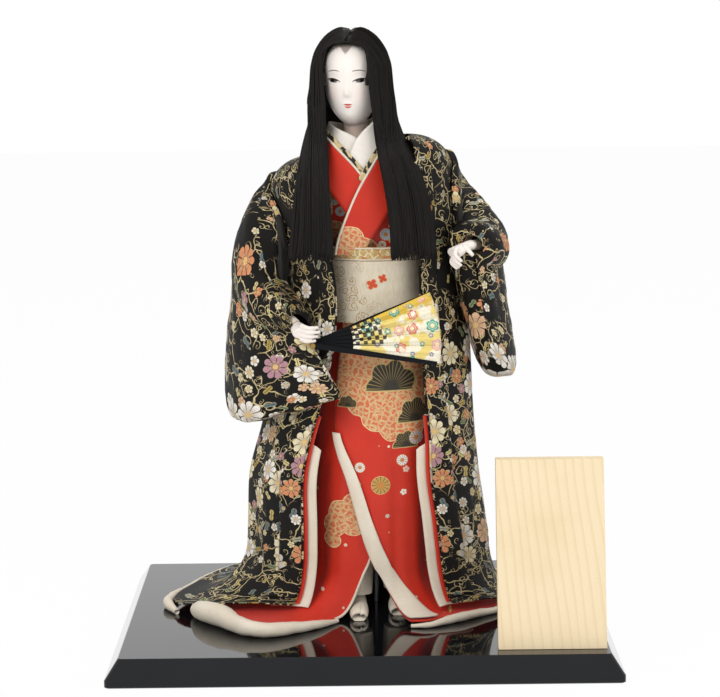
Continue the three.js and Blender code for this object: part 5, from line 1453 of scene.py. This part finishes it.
BACK_SPREAD, SIDE_BACK_EDGE = 72, 121


def lock_frame(stations):
    path, n = curve(*(s[0] for s in stations)), len(stations) - 1
    width, turn = (through(*((k / n, s[part]) for k, s in enumerate(stations))) for part in (1, 2))

    def at(t, sideways, out):
        a = math.radians(turn(t))
        across, away = Vector((math.cos(a), math.sin(a), 0)), Vector((math.sin(a), -math.cos(a), 0))
        return path(t) + across * width(t) * sideways + away * out

    return at


def sideways_of(a):
    return math.copysign(abs(math.cos(a)) ** 0.7, math.cos(a))


def fullness(name, t, a):
    """The fall down the back is fuller on its inner side, where it lies on the robe."""
    return BACK_FULLNESS(t) * max(math.sin(a), 0) if name == "back" else 0


def lock_core(name, at):
    thickness = LOCK_THICKNESS + (2 if name == "back" else 0)

    def point(u, v):
        a = TURN * u
        groove = 1 - 0.10 * abs(math.sin(13 * a + 2 * v))
        slim = mix(0.3, 1, smooth(v, 0.05, 0.34)) if name == "back" else 1
        out = 0.5 * thickness * math.sin(a) * groove * 0.86 * slim + 0.9 * fullness(name, v, a)
        return at(v * 0.955, sideways_of(a) * 0.96 * slim, out)

    return sample(point, 72, 60, True)


def bent(piece):
    """Puts the piece's place into its mesh."""
    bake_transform(piece)


def unit(vectors):
    return vectors / np.maximum(np.linalg.norm(vectors, axis=2, keepdims=True), 1e-9)


def strand_mesh(name, paths):
    """Many fine tubes in one mesh. paths is strands by points by three."""
    count, steps = paths.shape[:2]
    along = unit(np.gradient(paths, axis=1))
    side = unit(np.cross(along, np.array([0.31, -0.94, 0.12])))
    up = np.cross(side, along)
    angles = TURN * np.arange(STRAND_SIDES)[:, None] / STRAND_SIDES
    rings = paths[:, :, None] + STRAND_RADIUS[None, :, None, None] * (
        side[:, :, None] * np.cos(angles) + up[:, :, None] * np.sin(angles)
    )
    size = steps * STRAND_SIDES
    starts = np.arange(count) * size
    faces = (quads(steps, STRAND_SIDES, True)[0][None] + starts[:, None, None]).reshape(-1, 4).tolist()
    for start in starts.tolist():
        faces += caps(start, steps, STRAND_SIDES)
    mesh = new_mesh(name, rings, faces)
    step_of = np.tile(np.repeat(np.arange(steps), STRAND_SIDES), count)
    values = np.stack([np.repeat(np.arange(count), size) * 1.7, step_of * 3.0], 1)
    add_map(mesh, "cloth", values[corner_points(mesh)])
    return mesh


def on_cap(p, out):
    """The place on the hair's surface in the direction of p from the middle of the head."""
    low, high = 0.2, 4.0
    for _ in range(26):
        k = (low + high) / 2
        across = (k * p.x / (HAIR_WIDE + out)) ** 2 + (k * (p.y - HAIR_Y) / (HAIR_DEEP + out)) ** 2
        if across + (max(k * p.z, 0) / (HAIR_TOP + out)) ** CAP_POWER < 1:
            low = k
        else:
            high = k
    return parted(k * p.x, HAIR_Y + k * (p.y - HAIR_Y), k * p.z)


def strand(name, at, a, lift, root_share, wander, end):
    """One thread of hair, from the parting over the skull and down its lock."""
    sideways = sideways_of(a)
    out = 0.5 * LOCK_THICKNESS * math.sin(a)
    share = (sideways + 1) / 2
    if name == "back":
        s = 1 if sideways > 0 else -1
        root_y = mix(*BACK_ROOTS, root_share)
        turn = lambda level: math.radians(180 - BACK_SPREAD * sideways)
    else:
        s = -1 if name == "right" else 1
        root_y = mix(*SIDE_ROOTS, share)
        turn = lambda level: s * math.radians(mix(FRONT_EDGE[name](level), SIDE_BACK_EDGE, share))
    cap_out = lift + 0.4 * max(out, 0) / LOCK_THICKNESS
    root_level = HAIR_TOP * max(1 - ((root_y - HAIR_Y) / HAIR_DEEP) ** 2, 0.05) ** (1 / CAP_POWER)
    root = on_cap(Vector((s * 0.8, root_y, root_level)), -0.4)
    side_end, *temple = (cap_point(level, turn(level), cap_out) for level in (10, -6, -19))
    points = [root]
    for along, level in HAIRLINE:
        p = root.lerp(side_end, along)
        if name != "back":
            p = p.lerp(cap_point(level, s * math.radians(WINDOW[name](level)), cap_out), (1 - share) ** 6)
        points.append(on_cap(p, cap_out))
    points = [turned(p) for p in (*points, side_end, *temple)]
    points += [at(t * end, sideways, out + math.copysign(lift, out) + fullness(name, t, a)) for t in LOCK_STEPS]
    path = curve(*points)
    phase, wide = wander
    sway = lambda t: Vector((math.sin(4.1 * t + phase) * wide, math.cos(3.3 * t + phase) * wide * 0.6, 0))
    return [path(t) + sway(t) * smooth(t, 0.1, 0.5) for t in STRAND_SHARES]


for name, stations in LOCKS.items():
    node = "hair_back" if name == "back" else "hair_lock_" + name
    at = lock_frame(stations)
    core = lock_core(name, at)
    bent(closed_piece(node, core, nearest_on(core.mean(1)), HAIR, None))
    paths = []
    for k in range(STRANDS):
        a = TURN * (k + random.random()) / STRANDS
        paths.append(strand(name, at, a, random.uniform(-0.2, 0.5), random.random(),
                            (random.uniform(0, ANY_TURN), random.uniform(0.1, 0.8)), random.uniform(0.93, 1.0)))
    threads = link(node + "_threads", strand_mesh(node, np.array(paths)), [HAIR])
    bent(threads)

# Folding fan: its leaf in gores between the sticks
FAN_RADIUS, LEAF_INNER, FAN_STICKS, BLEND_RADIUS = 98, 31, 6, 74
FAN_LOWEST, FAN_STEP = math.radians(-9), math.radians(6.4)
STICK_PITCH, PLEAT_DEPTH, LEAF_THICKNESS = 1.6, 1.0, 0.5


def fan_point(sticks, radius, depth):
    angle = FAN_LOWEST + sticks * FAN_STEP
    return FAN_PLACE + Vector((radius * math.cos(angle), depth, radius * math.sin(angle)))


for k in range(1, FAN_STICKS):
    def gore(u, v):
        along = mix(0.02, 1.27 if k < FAN_STICKS - 1 else 1.1, u)
        pleat = PLEAT_DEPTH * max(0, 1 - abs(along - 0.75) / 0.25)
        return fan_point(k - 1 + along, mix(LEAF_INNER, FAN_RADIUS, v), STICK_PITCH * (k - 0.5) - pleat)

    name = "fan_leaf_%d" % k
    leaf = link(name, grid_mesh(name, sample(gore, 24, 24), False, lambda p: p + [0, 5, 0]), [PAPER])
    thicken(leaf, LEAF_THICKNESS)
    evaluated(leaf)
    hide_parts(name)
    start, end = (tuple(raised(fan_point(stick, BLEND_RADIUS, 0))[0]) for stick in (k - 1, k))
    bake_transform(leaf)

# Finishes and eased edges of the rigid CAD pieces
EASED_CORNER = math.radians(35)
FAN_LACQUER = lacquer("fan_lacquer", 0.45, 0.0), 0.12
PALE_WOOD, STEEL = wood("pale_wood", "efdcb8", "d3b27c"), metal("steel", "a9adb2", 0.3)
FINISHES = {
    "plinth": (lacquer("lacquer", 0.04, 1.0), 0.5), "name_plate": (PALE_WOOD, 0.5), "plate_strut": (PALE_WOOD, 0.4),
    "support_rod": (STEEL, 0.2), "support_nut": (STEEL, 0.3), "torso": (straw(), 0),
    "neck_peg": (wood("peg_wood", "d9bd8a", "b08f5a"), 0.3), "fan_rivet": (metal("brass", "b8934a", 0.25), 0.2),
    "arm_right": (WRAP, 0), "arm_left": (WRAP, 0), "fan_guard_front": FAN_LACQUER, "fan_guard_back": FAN_LACQUER,
}
FINISHES.update({"fan_stick_%d" % k: FAN_LACQUER for k in range(1, FAN_STICKS - 1)})
for name, (material, ease) in FINISHES.items():
    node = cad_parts[name]
    node.data.materials.clear()
    node.data.materials.append(material)
    if ease:
        bevel = node.modifiers.new("eased", "BEVEL")
        bevel.width = ease * MM
        bevel.segments = 2
        bevel.limit_method = "ANGLE"
        bevel.angle_limit = EASED_CORNER

# Stage: floor, light and camera
WHITE, AMBIENT = (1, 1, 1, 1), 0.42
FLOOR_Z, FLOOR_WHITE = -0.0005, 0.965


def show_white(g, lit, white, output, share):
    """Plain white for rays that show the background, and the given light otherwise."""
    path = g.node("LightPath", {}, None)
    seen = g.most(*(Value(g, path.outputs["Is %s Ray" % kind]) for kind in ("Camera", "Glossy", "Transmission")))
    choose = g.node("MixShader", {0: seen * share, 1: Value(g, lit.outputs[0]), 2: white})
    g.put(choose, g.tree.nodes[output].inputs[0])


scene = bpy.context.scene
scene.world = bpy.data.worlds.new("studio")
studio = Graph(scene.world)
ambient = studio.tree.nodes["Background"]
ambient.inputs[0].default_value = WHITE
ambient.inputs[1].default_value = AMBIENT
show_white(studio, ambient, studio.node("Background", {0: WHITE, 1: 1.0}), "World Output", 1.0)

pale = Graph("floor", Base_Color=(0.92, 0.92, 0.92, 1), Roughness=0.8)
show_white(pale, pale.shader, pale.node("Emission", {1: 1.0}), "Material Output", FLOOR_WHITE)
floor_mesh = bpy.data.meshes.new("floor")
floor_mesh.from_pydata([(x, y, FLOOR_Z) for x, y in ((-4, -3), (4, -3), (4, 5), (-4, 5))], [], [(0, 1, 2, 3)])
link("floor", floor_mesh, [pale.owner])

for name, place, aim_height, size, power in (
    ("key", (-0.9, -1.5, 1.5), 0.22, 1.0, 22),
    ("fill", (1.2, -1.4, 0.9), 0.25, 1.2, 9),
    ("top", (0.1, 0.4, 1.8), 0.2, 1.2, 10),
):
    data = bpy.data.lights.new(name, "AREA")
    data.shape = "RECTANGLE"
    data.size = data.size_y = size
    data.energy = power
    lamp = bpy.data.objects.new(name, data)
    lamp.location = place
    lamp.rotation_euler = (Vector((0, 0, aim_height)) - Vector(place)).to_track_quat("-Z", "Y").to_euler()
    lamp.visible_glossy = False
    scene.collection.objects.link(lamp)

# Camera fitted to the plinth's corners
PITCH, ROLL, LENS, SENSOR = 0.168, -0.011, 110.07, 36
CAMERA_PLACE = (-0.001, -1.7212, 0.5228)
ahead = Vector((0, math.cos(PITCH), -math.sin(PITCH)))
right = ahead.cross(Vector((0, 0, 1))).normalized()
up = right.cross(ahead)
right, up = (
    math.cos(ROLL) * right + math.sin(ROLL) * up,
    -math.sin(ROLL) * right + math.cos(ROLL) * up,
)
camera_data = bpy.data.cameras.new("camera")
camera_data.sensor_width = SENSOR
camera_data.lens = LENS
camera = bpy.data.objects.new("camera", camera_data)
camera.matrix_world = Matrix.Translation(CAMERA_PLACE) @ Matrix((right, up, -ahead)).transposed().to_4x4()
scene.collection.objects.link(camera)
scene.camera = camera
scene.view_settings.view_transform = "Standard"
